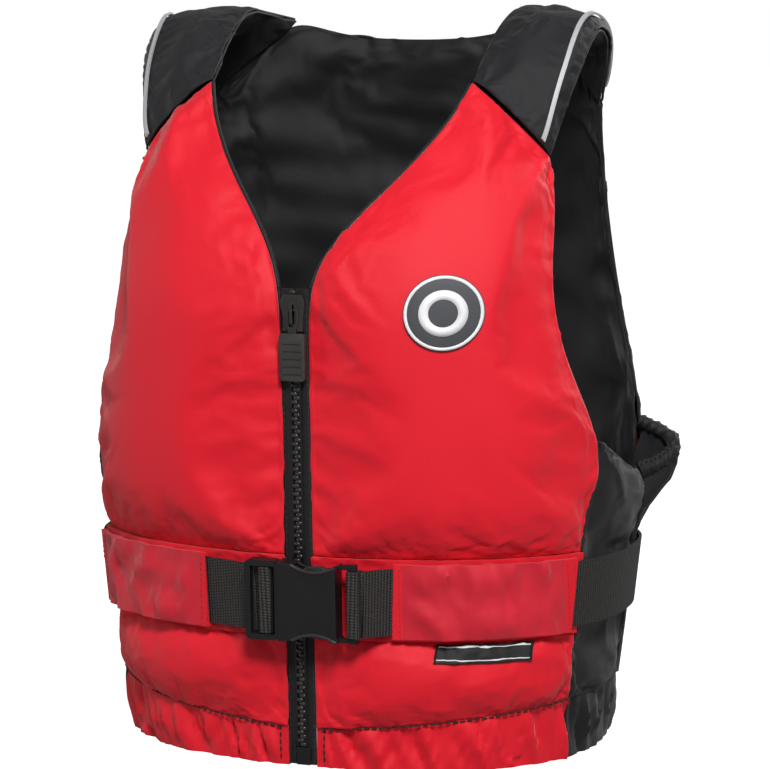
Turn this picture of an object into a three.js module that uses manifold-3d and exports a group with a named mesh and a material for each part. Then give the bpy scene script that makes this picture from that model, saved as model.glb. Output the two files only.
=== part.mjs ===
// A 50 N buoyancy aid: a foam-filled waistcoat with a front zip, padded shoulder straps
// and a webbing belt that closes on a side-release buckle.
// Millimetres. +Z up, the front faces -Y, +X is the wearer's left. It stands on its hem.

import * as THREE from 'three';
import { mergeVertices } from 'three/addons/utils/BufferGeometryUtils.js';
import Module from 'manifold-3d';

const wasm = await Module();
wasm.setup();

// ---- Driving sizes ------------------------------------------------------------------

// The torso ring: half widths and depths of the seam surface at named heights.
const HEM_HALF_WIDTH = 149;
const BELT_HALF_WIDTH = 161;
const CHEST_HALF_WIDTH = 168;
const RIB_HALF_WIDTH = 152;
const SHOULDER_HALF_WIDTH = 143;
const HEM_FRONT_DEPTH = 113;
const ZIP_TOP_FRONT_DEPTH = 126;
const HEM_BACK_DEPTH = 106;
const BELT_BACK_DEPTH = 118;
const CHEST_BACK_DEPTH = 124;
const SHOULDER_BACK_DEPTH = 112;
const NECK_BACK_DEPTH = 95;
const FRONT_SQUARENESS = 2.2;
const BACK_SQUARENESS = 2.6;
const LAPEL_FALL = 0.165;
const LAPEL_POWER = 1.28;

// Heights above the hem, and rises from one seam to the next.
const ZIP_FOOT = 1;
const ZIP_LENGTH = 287;
const BELT_HEIGHT = 104.5;
const ARMPIT_RISE = 66.5;
const ARMPIT_DROP = 34;
const FRONT_SEAM_RISE_INNER = 119;
const FRONT_SEAM_RISE_OUTER = 75;
const BACK_SEAM_RISE_INNER = 157;
const BACK_SEAM_RISE_OUTER = 104;
const NECK_DIP = 13;
const HEM_SEAM_CENTRE = 24;
const HEM_SEAM_SIDE = 39;

// Fabric, foam and seams.
const SKIN = 1;
const SOFT_GAP = 0.6;
const SEAM_GAP = 0.3;
const RIM = 2.6;
const FOAM_OUT = 10;
const FOAM_IN = 9;
const FOAM_ROUND = 26;
const SIDE_OUT = 8;
const GUSSET_BULGE = 22;
const GUSSET_THICKNESS = 3;
const HEM_THICKNESS = 3;

// Outline angles round the ring, in degrees from the front centre.
const SIDE_SEAM_HEM = 69;
const SIDE_SEAM_BELT = 66.5;
const SIDE_SEAM_ARMPIT = 71;
const ARMHOLE_FRONT_WAIST = 61.5;
const ARMHOLE_FRONT_TOP = 63;
const GUSSET_FRONT = 99;
const GUSSET_BACK = 111;
const ARMHOLE_BACK_WAIST = 119;
const ARMHOLE_BACK_TOP = 114;

// Shoulder straps.
const NECK_HALF_WIDTH = 83.5;
const STRAP_RISE_INNER = 162;
const STRAP_RISE_OUTER = 151;
const STRAP_PAD = 6;
const PIPING_SHARE = 0.84;
const PIPING_WIDTH = 3;
const PIPING_HEIGHT = 1.3;

// Belt, its band and its tunnels.
const WEBBING_WIDTH = 40;
const WEBBING_THICKNESS = 1.8;
const BAND_MARGIN = 4.5;
const BAND_THICKNESS = 5.5;
const TUNNEL_WALL = 1.2;
const TUNNEL_HEM = 2;
const TUNNEL_INNER_X = 57;
const TUNNEL_OUTER_ANGLE = 63;
const BACK_TUNNEL_ANGLE = 142;
const WEBBING_JOIN_ANGLE = 36;
const BELT_GAP = 0.5;

// Zip.
const ZIP_HALF_WIDTH = 8.7;
const TAPE_THICKNESS = 1.2;
const TOOTH_PITCH = 5;
const TOOTH_HEIGHT = 2;
const TOOTH_DEPTH = 1.5;
const TOOTH_REACH = 1.2;
const CORD_INNER_X = 2;
const CORD_OUTER_X = 3.6;
const SLIDER_LENGTH = 22;
const SLIDER_PLATE = 1.4;
const SLIDER_FLANGE = 1.5;
const CROWN_HEIGHT = 3.2;
const CROWN_WIDTH = 2;
const TAB_LENGTH = 20;
const TAB_THICKNESS = 1.4;
const GRIP_LENGTH = 28;
const GRIP_WIDTH = 16;
const GRIP_THICKNESS = 3.4;
const BOX_WIDTH = 9;
const BOX_HEIGHT = 11;
const ZIP_GAP = 0.3;

// Side-release buckle, along X from the plug's end bar to the socket's end bar.
const BUCKLE_MARGIN = 4;
const BUCKLE_DEPTH = 12;
const BUCKLE_STAND_OFF = 10;
const BUCKLE_WALL = 1.8;
const PLUG_END = -27.7;
const BUCKLE_PARTING = -7;
const SOCKET_BODY_END = 30;
const SOCKET_END = 41.5;
const BUCKLE_BAR = 3.6;
const ARM_LENGTH = 27;
const ARM_THICKNESS = 3.2;
const ARM_ROOT_X = -4;
const TONGUE_HALF_HEIGHT = 6;
const BUCKLE_GAP = 0.3;

// Trim.
const BADGE_DIAMETER = 44;
const BADGE_AT = [0.487, 0.572];
const LABEL_WIDTH = 54;
const LABEL_HEIGHT = 11;
const LABEL_AT = 0.57;
const TRIM_THICKNESS = 0.8;
const TRIM_GAP = 0.8;
const BINDING = 2.4;

// ---- Heights and places worked out from those -----------------------------------------

const ZIP_TOP = ZIP_FOOT + ZIP_LENGTH;
const BAND_HALF = WEBBING_WIDTH / 2 + BAND_MARGIN;
const UPPER_SEAM = BELT_HEIGHT + BAND_HALF;
const LOWER_SEAM = BELT_HEIGHT - BAND_HALF;
const FRONT_SEAM_INNER = ZIP_TOP + FRONT_SEAM_RISE_INNER;
const FRONT_SEAM_OUTER = ZIP_TOP + FRONT_SEAM_RISE_OUTER;
const BACK_SEAM_INNER = ZIP_TOP + BACK_SEAM_RISE_INNER;
const BACK_SEAM_OUTER = ZIP_TOP + BACK_SEAM_RISE_OUTER;
const ARMPIT_HEIGHT = UPPER_SEAM + ARMPIT_RISE;
const SIDE_TOP_BACK = ARMPIT_HEIGHT - ARMPIT_DROP;
const BUCKLE_HEIGHT = WEBBING_WIDTH + 2 * BUCKLE_MARGIN;

const RED = { color: 0xc81e2c, roughness: 0.62, metalness: 0 };
const DULL_RED = { color: 0xb52634, roughness: 0.7, metalness: 0 };
const BLACK = { color: 0x1b1b1e, roughness: 0.7, metalness: 0 };
const WEBBING = { color: 0x161615, roughness: 0.8, metalness: 0 };
const PLASTIC = { color: 0x121211, roughness: 0.45, metalness: 0 };
const REFLECTIVE = { color: 0xb4b6b8, roughness: 0.35, metalness: 0.2 };
const FOAM = { color: 0xd9d4c4, roughness: 0.95, metalness: 0 };

// ---- The torso surface ------------------------------------------------------------------

const radians = THREE.MathUtils.degToRad;
const lerp = THREE.MathUtils.lerp;

// A smooth value through [height, value] stations, held level beyond both ends.
function smooth(stations, at) {
  const last = stations.length - 1;
  if (at <= stations[0][0]) return stations[0][1];
  if (at >= stations[last][0]) return stations[last][1];
  const i = stations.findIndex((station) => at < station[0]) - 1;
  const slope = (k) => {
    const low = stations[Math.max(k - 1, 0)];
    const high = stations[Math.min(k + 1, last)];
    return (high[1] - low[1]) / (high[0] - low[0]);
  };
  const [x0, y0] = stations[i];
  const [x1, y1] = stations[i + 1];
  const span = x1 - x0;
  const t = (at - x0) / span;
  const rise = 3 * t * t - 2 * t * t * t;
  const bend0 = t * (1 - t) * (1 - t);
  const bend1 = t * t * (t - 1);
  return lerp(y0, y1, rise) + span * (slope(i) * bend0 + slope(i + 1) * bend1);
}

const WIDTHS = [
  [0, HEM_HALF_WIDTH],
  [BELT_HEIGHT, BELT_HALF_WIDTH],
  [ARMPIT_HEIGHT, CHEST_HALF_WIDTH],
  [ZIP_TOP + 10, RIB_HALF_WIDTH],
  [FRONT_SEAM_OUTER, SHOULDER_HALF_WIDTH],
  [BACK_SEAM_INNER, SHOULDER_HALF_WIDTH],
];

const BACK_DEPTHS = [
  [0, HEM_BACK_DEPTH],
  [BELT_HEIGHT, BELT_BACK_DEPTH],
  [ARMPIT_HEIGHT, CHEST_BACK_DEPTH],
  [FRONT_SEAM_OUTER, SHOULDER_BACK_DEPTH],
  [BACK_SEAM_INNER, NECK_BACK_DEPTH],
];

// The front leans in a straight line along the zip, then falls back towards the shoulders.
function frontDepth(height) {
  const lean = (ZIP_TOP_FRONT_DEPTH - HEM_FRONT_DEPTH) / ZIP_TOP;
  const above = Math.max(0, height - ZIP_TOP);
  return HEM_FRONT_DEPTH + lean * height - LAPEL_FALL * above ** LAPEL_POWER;
}

// A point of the torso at an angle from the front centre, a height and a distance outwards.
function ring(degrees, height, outwards) {
  const angle = radians(degrees);
  const s = Math.sin(angle);
  const c = Math.cos(angle);
  const n = c > 0 ? FRONT_SQUARENESS : BACK_SQUARENESS;
  const a = smooth(WIDTHS, height);
  const b = c > 0 ? frontDepth(height) : smooth(BACK_DEPTHS, height);
  const x = a * Math.sign(s) * Math.abs(s) ** (2 / n);
  const y = -b * Math.sign(c) * Math.abs(c) ** (2 / n);
  const nx = (Math.sign(s) * Math.abs(x / a) ** (n - 1)) / a;
  const ny = (-Math.sign(c) * Math.abs(y / b) ** (n - 1)) / b;
  const length = Math.hypot(nx, ny);
  return new THREE.Vector3(x + (nx / length) * outwards, y + (ny / length) * outwards, height);
}

// The ring angle where the front surface passes a given x.
function angleAt(x, height) {
  const share = Math.min(1, Math.abs(x) / smooth(WIDTHS, height));
  return THREE.MathUtils.radToDeg(Math.asin(share ** (FRONT_SQUARENESS / 2))) * Math.sign(x);
}

// ---- Making closed solids ---------------------------------------------------------------

function bare(geometry) {
  geometry.deleteAttribute('normal');
  geometry.deleteAttribute('uv');
  return mergeVertices(geometry, 1e-4);
}

function signedVolume(geometry) {
  const p = geometry.attributes.position;
  const index = geometry.index;
  const corner = [new THREE.Vector3(), new THREE.Vector3(), new THREE.Vector3()];
  let volume = 0;
  for (let i = 0; i < index.count; i += 3) {
    corner.forEach((point, k) => point.fromBufferAttribute(p, index.getX(i + k)));
    volume += corner[0].dot(corner[1].cross(corner[2])) / 6;
  }
  return volume;
}

// Turns every face outwards on a closed solid that a mapping may have mirrored.
function outward(geometry) {
  if (signedVolume(geometry) < 0) {
    const index = geometry.index;
    for (let i = 0; i < index.count; i += 3) {
      const second = index.getX(i + 1);
      index.setX(i + 1, index.getX(i + 2));
      index.setX(i + 2, second);
    }
  }
  return geometry;
}

// Moves each vertex of a closed geometry to the place that the map gives it.
function mapped(geometry, place) {
  const solid = bare(geometry);
  const p = solid.attributes.position;
  for (let i = 0; i < p.count; i += 1) {
    const point = place(p.getX(i), p.getY(i), p.getZ(i));
    p.setXYZ(i, point.x, point.y, point.z);
  }
  return outward(solid);
}

function mirrored(geometry) {
  return mapped(geometry.clone(), (x, y, z) => new THREE.Vector3(-x, y, z));
}

function toSolid(geometry) {
  const merged = outward(bare(geometry.clone()));
  const vertProperties = Float32Array.from(merged.attributes.position.array);
  const triVerts = Uint32Array.from(merged.index.array);
  return new wasm.Manifold(new wasm.Mesh({ numProp: 3, vertProperties, triVerts }));
}

function fromSolid(solid) {
  const mesh = solid.getMesh();
  const geometry = new THREE.BufferGeometry();
  geometry.setAttribute('position', new THREE.BufferAttribute(mesh.vertProperties, 3));
  geometry.setIndex(new THREE.BufferAttribute(mesh.triVerts, 1));
  return geometry;
}

function joined(...geometries) {
  return fromSolid(geometries.map(toSolid).reduce((sum, next) => sum.add(next)));
}

function cut(geometry, ...tools) {
  return fromSolid(tools.map(toSolid).reduce((rest, tool) => rest.subtract(tool), toSolid(geometry)));
}

// A box from its lowest to its highest corner.
function block(low, high) {
  const geometry = new THREE.BoxGeometry(high[0] - low[0], high[1] - low[1], high[2] - low[2]);
  geometry.translate((low[0] + high[0]) / 2, (low[1] + high[1]) / 2, (low[2] + high[2]) / 2);
  return geometry;
}

// An outline of [x, z] points, drawn on the front plane and given a depth along Y.
function plate(outline, yFront, yRear, holes = []) {
  const shape = new THREE.Shape(outline.map(([x, z]) => new THREE.Vector2(x, z)));
  for (const hole of holes) {
    shape.holes.push(new THREE.Path(hole.map(([x, z]) => new THREE.Vector2(x, z))));
  }
  const geometry = new THREE.ExtrudeGeometry(shape, { depth: yRear - yFront, bevelEnabled: false });
  return mapped(geometry, (x, z, depth) => new THREE.Vector3(x, yFront + depth, z));
}

// Points along an arc, from one angle to another in degrees.
function arc(x, z, radius, from, to, steps) {
  const points = [];
  for (let i = 0; i <= steps; i += 1) {
    const angle = radians(lerp(from, to, i / steps));
    points.push([x + radius * Math.cos(angle), z + radius * Math.sin(angle)]);
  }
  return points;
}

function roundedRectangle(left, bottom, right, top, radius, steps = 3) {
  return [
    ...arc(right - radius, bottom + radius, radius, -90, 0, steps),
    ...arc(right - radius, top - radius, radius, 0, 90, steps),
    ...arc(left + radius, top - radius, radius, 90, 180, steps),
    ...arc(left + radius, bottom + radius, radius, 180, 270, steps),
  ];
}

// Grid lines over a piece, with one extra line near each edge for its rounding.
function gridLines(count) {
  const bevel = 0.35 / count;
  const inner = Array.from({ length: count - 1 }, (_, i) => (i + 1) / count);
  return [0, bevel, ...inner, 1 - bevel, 1];
}

// A thin closed body over grid lines: side 0 is its inner face and side 1 its outer face.
// Both faces split their cells the same way, so that layers on one grid never cross.
function slabOver(across, up, place) {
  const columns = across.length;
  const points = [];
  for (const side of [0, 1]) {
    for (const v of up) {
      for (const u of across) points.push(place(u, v, side));
    }
  }
  const at = (i, j, side) => side * columns * up.length + j * columns + i;
  const faces = [];
  const quad = (a, b, c, d) => faces.push(a, b, c, a, c, d);
  for (let j = 0; j + 1 < up.length; j += 1) {
    for (let i = 0; i + 1 < columns; i += 1) {
      quad(at(i, j, 1), at(i + 1, j, 1), at(i + 1, j + 1, 1), at(i, j + 1, 1));
      faces.push(at(i, j, 0), at(i + 1, j + 1, 0), at(i + 1, j, 0));
      faces.push(at(i, j, 0), at(i, j + 1, 0), at(i + 1, j + 1, 0));
    }
    quad(at(0, j, 0), at(0, j, 1), at(0, j + 1, 1), at(0, j + 1, 0));
    quad(at(columns - 1, j, 1), at(columns - 1, j, 0), at(columns - 1, j + 1, 0), at(columns - 1, j + 1, 1));
  }
  const top = up.length - 1;
  for (let i = 0; i + 1 < columns; i += 1) {
    quad(at(i, 0, 0), at(i + 1, 0, 0), at(i + 1, 0, 1), at(i, 0, 1));
    quad(at(i, top, 1), at(i + 1, top, 1), at(i + 1, top, 0), at(i, top, 0));
  }
  const geometry = new THREE.BufferGeometry().setFromPoints(points);
  geometry.setIndex(faces);
  return outward(geometry);
}

function slab(columns, rows, inset, place) {
  const us = gridLines(columns);
  const vs = gridLines(rows);
  return slabOver(us.slice(inset, us.length - inset), vs.slice(inset, vs.length - inset), place);
}

// How far a padded piece has risen at a distance from its edges: 0 at the rim, 1 inside.
function crown(u, v, width, height, round) {
  const rise = (share, length) => {
    const near = Math.min(1, (Math.min(share, 1 - share) * length) / Math.min(round, length / 2));
    return Math.sqrt(1 - (1 - near) ** 2);
  };
  return rise(u, width) * rise(v, height);
}

// ---- The object ---------------------------------------------------------------------------

const jacket = new THREE.Group();

function addPiece(parent, name, geometry, finish) {
  const mesh = new THREE.Mesh(geometry, new THREE.MeshStandardMaterial(finish));
  mesh.name = name;
  parent.add(mesh);
  return mesh;
}

// Adds a piece on the wearer's left and its mirror image on the right.
function addPair(name, geometry, finish) {
  addPiece(jacket, `${name}_left`, geometry, finish);
  addPiece(jacket, `${name}_right`, mirrored(geometry), finish);
}

// A patch of the ring between an inner and an outer edge, as layers of skin, foam and lining.
function patchPoint(patch, u, v, outwards) {
  const [innerAngle, innerHeight] = patch.inner(v);
  const [outerAngle, outerHeight] = patch.outer(v);
  return ring(lerp(innerAngle, outerAngle, u), lerp(innerHeight, outerHeight, u), outwards);
}

function patchSize(patch) {
  const width = patchPoint(patch, 0, 0.5, 0).distanceTo(patchPoint(patch, 1, 0.5, 0));
  const height = patchPoint(patch, 0.5, 0, 0).distanceTo(patchPoint(patch, 0.5, 1, 0));
  return [width, height];
}

function outerFace(patch, u, v) {
  const [width, height] = patchSize(patch);
  const groove = patch.groove ? patch.groove(u, v) : 1;
  return RIM + patch.out * groove * crown(u, v, width, height, FOAM_ROUND);
}

function innerFace(patch, u, v) {
  const [width, height] = patchSize(patch);
  return -FOAM_IN * crown(u, v, width, height, FOAM_ROUND);
}

// The foam uses the same grid lines as its skins, less the outermost ones.
function layers(patch) {
  const us = gridLines(patch.columns);
  const vs = patch.lines ?? gridLines(patch.rows);
  const shell = slabOver(us, vs, (u, v, side) =>
    patchPoint(patch, u, v, outerFace(patch, u, v) - (1 - side) * SKIN));
  const foam = slabOver(us.slice(1, -1), vs.slice(1, -1), (u, v, side) => {
    const outer = outerFace(patch, u, v) - SKIN - SOFT_GAP;
    const inner = innerFace(patch, u, v) + SKIN + SOFT_GAP;
    return patchPoint(patch, u, v, side ? outer : inner);
  });
  const lining = slabOver(us, vs, (u, v, side) =>
    patchPoint(patch, u, v, innerFace(patch, u, v) + side * SKIN));
  return { shell, foam, lining };
}

// ---- Front panels: chest above the belt, waist below it ------------------------------------

// Each neck edge is a [share of its rise, share of its spread] from the zip to the shoulder.
const NECK_EDGE = [[0, 0], [0.18, 0.11], [0.41, 0.4], [0.65, 0.726], [0.83, 0.9], [1, 1]]
  .map(([rise, spread]) => [
    lerp(ZIP_TOP, FRONT_SEAM_INNER, rise),
    lerp(ZIP_HALF_WIDTH + SEAM_GAP, NECK_HALF_WIDTH, spread),
  ]);

const FRONT_EDGE = [
  [0, SIDE_SEAM_HEM],
  [UPPER_SEAM, SIDE_SEAM_BELT],
  [ARMPIT_HEIGHT - 4, SIDE_SEAM_ARMPIT],
  [lerp(ARMPIT_HEIGHT, ZIP_TOP, 0.28), 66],
  [lerp(ARMPIT_HEIGHT, ZIP_TOP, 0.66), ARMHOLE_FRONT_WAIST],
  [ZIP_TOP + 10, ARMHOLE_FRONT_WAIST + 0.5],
  [ZIP_TOP + 50, ARMHOLE_FRONT_TOP + 2],
  [FRONT_SEAM_OUTER, ARMHOLE_FRONT_TOP],
];

function zipEdge(height) {
  return angleAt(smooth(NECK_EDGE, height), height);
}

function frontEdge(height) {
  return smooth(FRONT_EDGE, height);
}

function hemSeam(degrees) {
  const start = angleAt(ZIP_HALF_WIDTH + SEAM_GAP, HEM_SEAM_CENTRE);
  const share = (Math.abs(degrees) - start) / (SIDE_SEAM_HEM - start);
  return lerp(HEM_SEAM_CENTRE, HEM_SEAM_SIDE, THREE.MathUtils.clamp(share, 0, 1));
}

// The edge from one height to another, as a share.
function edge(angleOf, bottom, top) {
  return (v) => {
    const height = lerp(bottom, top, v);
    return [angleOf(height), height];
  };
}

const chest = {
  inner: edge(zipEdge, UPPER_SEAM + SEAM_GAP, FRONT_SEAM_INNER),
  outer: edge(frontEdge, UPPER_SEAM + SEAM_GAP, FRONT_SEAM_OUTER),
  out: FOAM_OUT,
  columns: 7,
  rows: 12,
};

const waist = {
  inner: edge(zipEdge, HEM_SEAM_CENTRE, LOWER_SEAM - SEAM_GAP),
  outer: edge(frontEdge, HEM_SEAM_SIDE, LOWER_SEAM - SEAM_GAP),
  out: FOAM_OUT * 0.8,
  columns: 7,
  rows: 3,
};

const chestLayers = layers(chest);
const waistLayers = layers(waist);
addPair('chest_shell', chestLayers.shell, RED);
addPair('chest_foam', chestLayers.foam, FOAM);
addPair('waist_shell', waistLayers.shell, RED);
addPair('waist_foam', waistLayers.foam, FOAM);

// The flat band behind the belt, between the two front pockets of foam.
const band = {
  inner: edge(zipEdge, LOWER_SEAM, UPPER_SEAM),
  outer: edge(frontEdge, LOWER_SEAM, UPPER_SEAM),
};
addPair('belt_band', slab(7, 2, 0, (u, v, side) => patchPoint(band, u, v, side * BAND_THICKNESS)), RED);

// One lining runs behind both pockets, and flat behind the band between them.
const LINING_LAP = 4;
const behindBand = {
  inner: edge(zipEdge, LOWER_SEAM - LINING_LAP, UPPER_SEAM + LINING_LAP),
  outer: edge(frontEdge, LOWER_SEAM - LINING_LAP, UPPER_SEAM + LINING_LAP),
};
const bandLining = slab(7, 2, 0, (u, v, side) =>
  patchPoint(behindBand, u, v, -SEAM_GAP - (1 - side) * SKIN));
addPair('front_lining', joined(chestLayers.lining, bandLining, waistLayers.lining), BLACK);

// Thin binding along each side of the neck opening, on the edge of the chest panel.
// It shares the panel's grid lines, so that both bend at the same places.
const neckLines = gridLines(chest.rows).filter((v) => v < 1 && chest.inner(v)[1] > ZIP_TOP + 2);
addPair('neck_binding', slabOver([0, 1], neckLines, (u, v, side) => {
  const [degrees, height] = chest.inner(v);
  const point = ring(degrees, height, side * BINDING);
  const inwards = SEAM_GAP + BINDING * (1 - u);
  return point.add(new THREE.Vector3(-inwards * 0.8, 0, inwards * 0.6));
}), BLACK);

// ---- Side panels, gathered gussets and back ------------------------------------------------

const ARMHOLE_BACK = [
  [SIDE_TOP_BACK, GUSSET_BACK],
  [ARMPIT_HEIGHT + 5, GUSSET_BACK],
  [ZIP_TOP - 20, ARMHOLE_BACK_WAIST],
  [BACK_SEAM_OUTER, ARMHOLE_BACK_TOP],
];

// Side and back pieces keep level grid lines up to a height just above the belt, and fan out
// above it to their own top edges. Lines fall on both edges of the groove that the belt presses.
const LEVEL_TOP = lerp(UPPER_SEAM, SIDE_TOP_BACK, 0.68);
const LEVEL_SHARE = 0.5;

function rising(v, top) {
  if (v <= LEVEL_SHARE) return lerp(HEM_SEAM_SIDE, LEVEL_TOP, v / LEVEL_SHARE);
  return lerp(LEVEL_TOP, top, (v - LEVEL_SHARE) / (1 - LEVEL_SHARE));
}

const GROOVE_HALF = WEBBING_WIDTH / 2 + 4;
const levelLines = [HEM_SEAM_SIDE, HEM_SEAM_SIDE + 5, HEM_SEAM_SIDE + 18,
  BELT_HEIGHT - GROOVE_HALF, BELT_HEIGHT + GROOVE_HALF, LEVEL_TOP - 8]
  .map((height) => (LEVEL_SHARE * (height - HEM_SEAM_SIDE)) / (LEVEL_TOP - HEM_SEAM_SIDE));

// The belt presses a groove into everything that it crosses.
function beltGroove(height) {
  return THREE.MathUtils.smoothstep(Math.abs(height - BELT_HEIGHT), GROOVE_HALF, GROOVE_HALF + 22);
}

const side = {
  inner: (v) => [frontEdge(rising(v, ARMPIT_HEIGHT)) + SEAM_GAP, rising(v, ARMPIT_HEIGHT)],
  outer: (v) => [GUSSET_FRONT, rising(v, SIDE_TOP_BACK)],
  out: SIDE_OUT,
  columns: 4,
  lines: [...levelLines, 0.66, 0.83, 0.94, 1],
};
side.groove = (u, v) => beltGroove(patchPoint(side, u, v, 0).z);
{
  const { shell, foam, lining } = layers(side);
  addPair('side_shell', shell, BLACK);
  addPair('side_foam', foam, FOAM);
  addPair('side_lining', lining, BLACK);
}

// The gusset is gathered on elastic, so it stands out in a soft roll under the arm.
const gusset = {
  inner: (v) => [GUSSET_FRONT + SEAM_GAP, rising(v, SIDE_TOP_BACK + 8)],
  outer: (v) => [GUSSET_BACK - SEAM_GAP, rising(v, ARMPIT_HEIGHT + 2)],
};
addPair('side_gusset', slabOver(gridLines(3), [...levelLines, 0.62, 0.75, 0.88, 1], (u, v, side) => {
  const height = patchPoint(gusset, u, v, 0).z;
  const rise = THREE.MathUtils.smoothstep(height, UPPER_SEAM, SIDE_TOP_BACK + 6);
  const bulge = GUSSET_BULGE * rise * Math.sin(Math.PI * u);
  return patchPoint(gusset, u, v, bulge + side * GUSSET_THICKNESS);
}), BLACK);

// The back is one panel from gusset to gusset. Its top edge runs along the neck between the
// two strap seams, whose inner corners fall on a grid line.
const BACK_COLUMNS = 14;
const NECK_CORNER = 6 / BACK_COLUMNS;

function backTop(t) {
  if (t < NECK_CORNER) return BACK_SEAM_INNER - NECK_DIP * (1 - (t / NECK_CORNER) ** 2.2);
  return lerp(BACK_SEAM_INNER, BACK_SEAM_OUTER, (t - NECK_CORNER) / (1 - NECK_CORNER));
}

function backPoint(u, v, outwards) {
  const height = rising(v, backTop(Math.abs(2 * u - 1)));
  const edgeAngle = Math.max(GUSSET_BACK, smooth(ARMHOLE_BACK, height));
  const degrees = 180 + (180 - edgeAngle) * (2 * u - 1);
  return ring(degrees, height, outwards);
}

function backCrown(u, v) {
  const width = backPoint(0, 0.5, 0).distanceTo(backPoint(1, 0.5, 0));
  const groove = beltGroove(backPoint(u, v, 0).z);
  return [groove, crown(u, v, width, BACK_SEAM_OUTER - HEM_SEAM_SIDE, FOAM_ROUND)];
}

const backLines = [...levelLines, 0.56, 0.64, 0.72, 0.8, 0.88, 0.95, 0.985, 1];

function backLayer(inset, face) {
  const us = gridLines(BACK_COLUMNS).slice(inset, inset ? -inset : undefined);
  const vs = backLines.slice(inset, inset ? -inset : undefined);
  return slabOver(us, vs, (u, v, side) => {
    const [groove, rise] = backCrown(u, v);
    const outer = RIM + FOAM_OUT * groove * rise;
    const inner = -FOAM_IN * rise;
    return backPoint(u, v, face(outer, inner, side));
  });
}
addPiece(jacket, 'back_shell', backLayer(0, (outer, inner, side) => outer - (1 - side) * SKIN), RED);
addPiece(jacket, 'back_foam', backLayer(1, (outer, inner, side) =>
  (side ? outer - SKIN - SOFT_GAP : inner + SKIN + SOFT_GAP)), FOAM);
addPiece(jacket, 'back_lining', backLayer(0, (outer, inner, side) => inner + side * SKIN), BLACK);

// ---- Hem skirts --------------------------------------------------------------------------

// Each skirt hangs from the hem seam to the flat hem. Front ones are red, the back is black.
function skirt(from, to, columns) {
  return slab(columns, 2, 0, (u, v, side) => {
    const degrees = lerp(from, to, u);
    const height = v * (hemSeam(degrees > 180 ? 360 - degrees : degrees) - SOFT_GAP);
    return ring(degrees, height, side * HEM_THICKNESS);
  });
}
const SKIRT_START = angleAt(ZIP_HALF_WIDTH + SEAM_GAP, 0);
const SKIRT_JOIN = SIDE_SEAM_HEM + SEAM_GAP;
addPair('hem_skirt_front', skirt(SKIRT_START, SIDE_SEAM_HEM, 8), RED);
addPiece(jacket, 'hem_skirt_back', skirt(SKIRT_JOIN, 360 - SKIRT_JOIN, 26), BLACK);

// ---- Shoulder straps -----------------------------------------------------------------------

// Both edges rise from the front seam, cross the shoulder and end at the back seam.
const STRAP_TOP_INNER = ZIP_TOP + STRAP_RISE_INNER;
const STRAP_TOP_OUTER = ZIP_TOP + STRAP_RISE_OUTER;
const STRAP_INNER = new THREE.CatmullRomCurve3([
  patchPoint(chest, 0, 1, RIM / 2),
  new THREE.Vector3(NECK_HALF_WIDTH + 2.5, -14, lerp(FRONT_SEAM_INNER, STRAP_TOP_INNER, 0.65)),
  new THREE.Vector3(NECK_HALF_WIDTH + 4.5, 22, STRAP_TOP_INNER),
  new THREE.Vector3(NECK_HALF_WIDTH + 5.5, 56, STRAP_TOP_INNER - 1),
  backPoint((1 - NECK_CORNER) / 2, 1, RIM / 2),
]);
const STRAP_OUTER = new THREE.CatmullRomCurve3([
  patchPoint(chest, 1, 1, RIM / 2),
  new THREE.Vector3(SHOULDER_HALF_WIDTH - 2, -24, lerp(FRONT_SEAM_OUTER, STRAP_TOP_OUTER, 0.6)),
  new THREE.Vector3(SHOULDER_HALF_WIDTH + 3, 5, STRAP_TOP_OUTER),
  new THREE.Vector3(SHOULDER_HALF_WIDTH + 3, 30, STRAP_TOP_OUTER - 8),
  backPoint(0, 1, RIM / 2),
]);

// The middle surface of the strap: w runs from neck to armhole, s from front seam to back seam.
function strapMiddle(w, s) {
  const chord = (share) => STRAP_INNER.getPoint(share).lerp(STRAP_OUTER.getPoint(share), w);
  const point = chord(s);
  const frontBow = patchPoint(chest, w, 1, RIM / 2).sub(chord(0));
  const backBow = backPoint((1 - lerp(NECK_CORNER, 1, w)) / 2, 1, RIM / 2).sub(chord(1));
  point.addScaledVector(frontBow, (1 - s) ** 2);
  point.addScaledVector(backBow, s ** 2);
  return point;
}

function strapPoint(w, s, outwards) {
  const step = 0.01;
  const [w0, w1] = [Math.max(0, w - step), Math.min(1, w + step)];
  const [s0, s1] = [Math.max(0, s - step), Math.min(1, s + step)];
  const across = strapMiddle(w1, s).sub(strapMiddle(w0, s));
  const along = strapMiddle(w, s1).sub(strapMiddle(w, s0));
  const normal = across.cross(along).normalize();
  return strapMiddle(w, s).addScaledVector(normal, outwards);
}

const STRAP_SIZE = [
  strapMiddle(0, 0.5).distanceTo(strapMiddle(1, 0.5)),
  STRAP_INNER.getLength(),
];
const STRAP_ROUND = 14;
const STRAP_FRONT_END = 0.005;
const STRAP_BACK_END = 0.986;

function strapFace(w, s) {
  return RIM / 2 + STRAP_PAD * crown(w, s, ...STRAP_SIZE, STRAP_ROUND);
}

function strapLayer(inset, face) {
  return slab(5, 10, inset, (w, v, side) => {
    const s = lerp(STRAP_FRONT_END, STRAP_BACK_END, v);
    return strapPoint(w, s, face(strapFace(w, s), side));
  });
}
addPair('strap_shell', strapLayer(0, (face, side) => face - (1 - side) * SKIN), BLACK);
addPair('strap_foam', strapLayer(1, (face, side) => (side ? 1 : -1) * (face - SKIN - SOFT_GAP)), FOAM);
addPair('strap_lining', strapLayer(0, (face, side) => -face + side * SKIN), BLACK);

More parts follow.
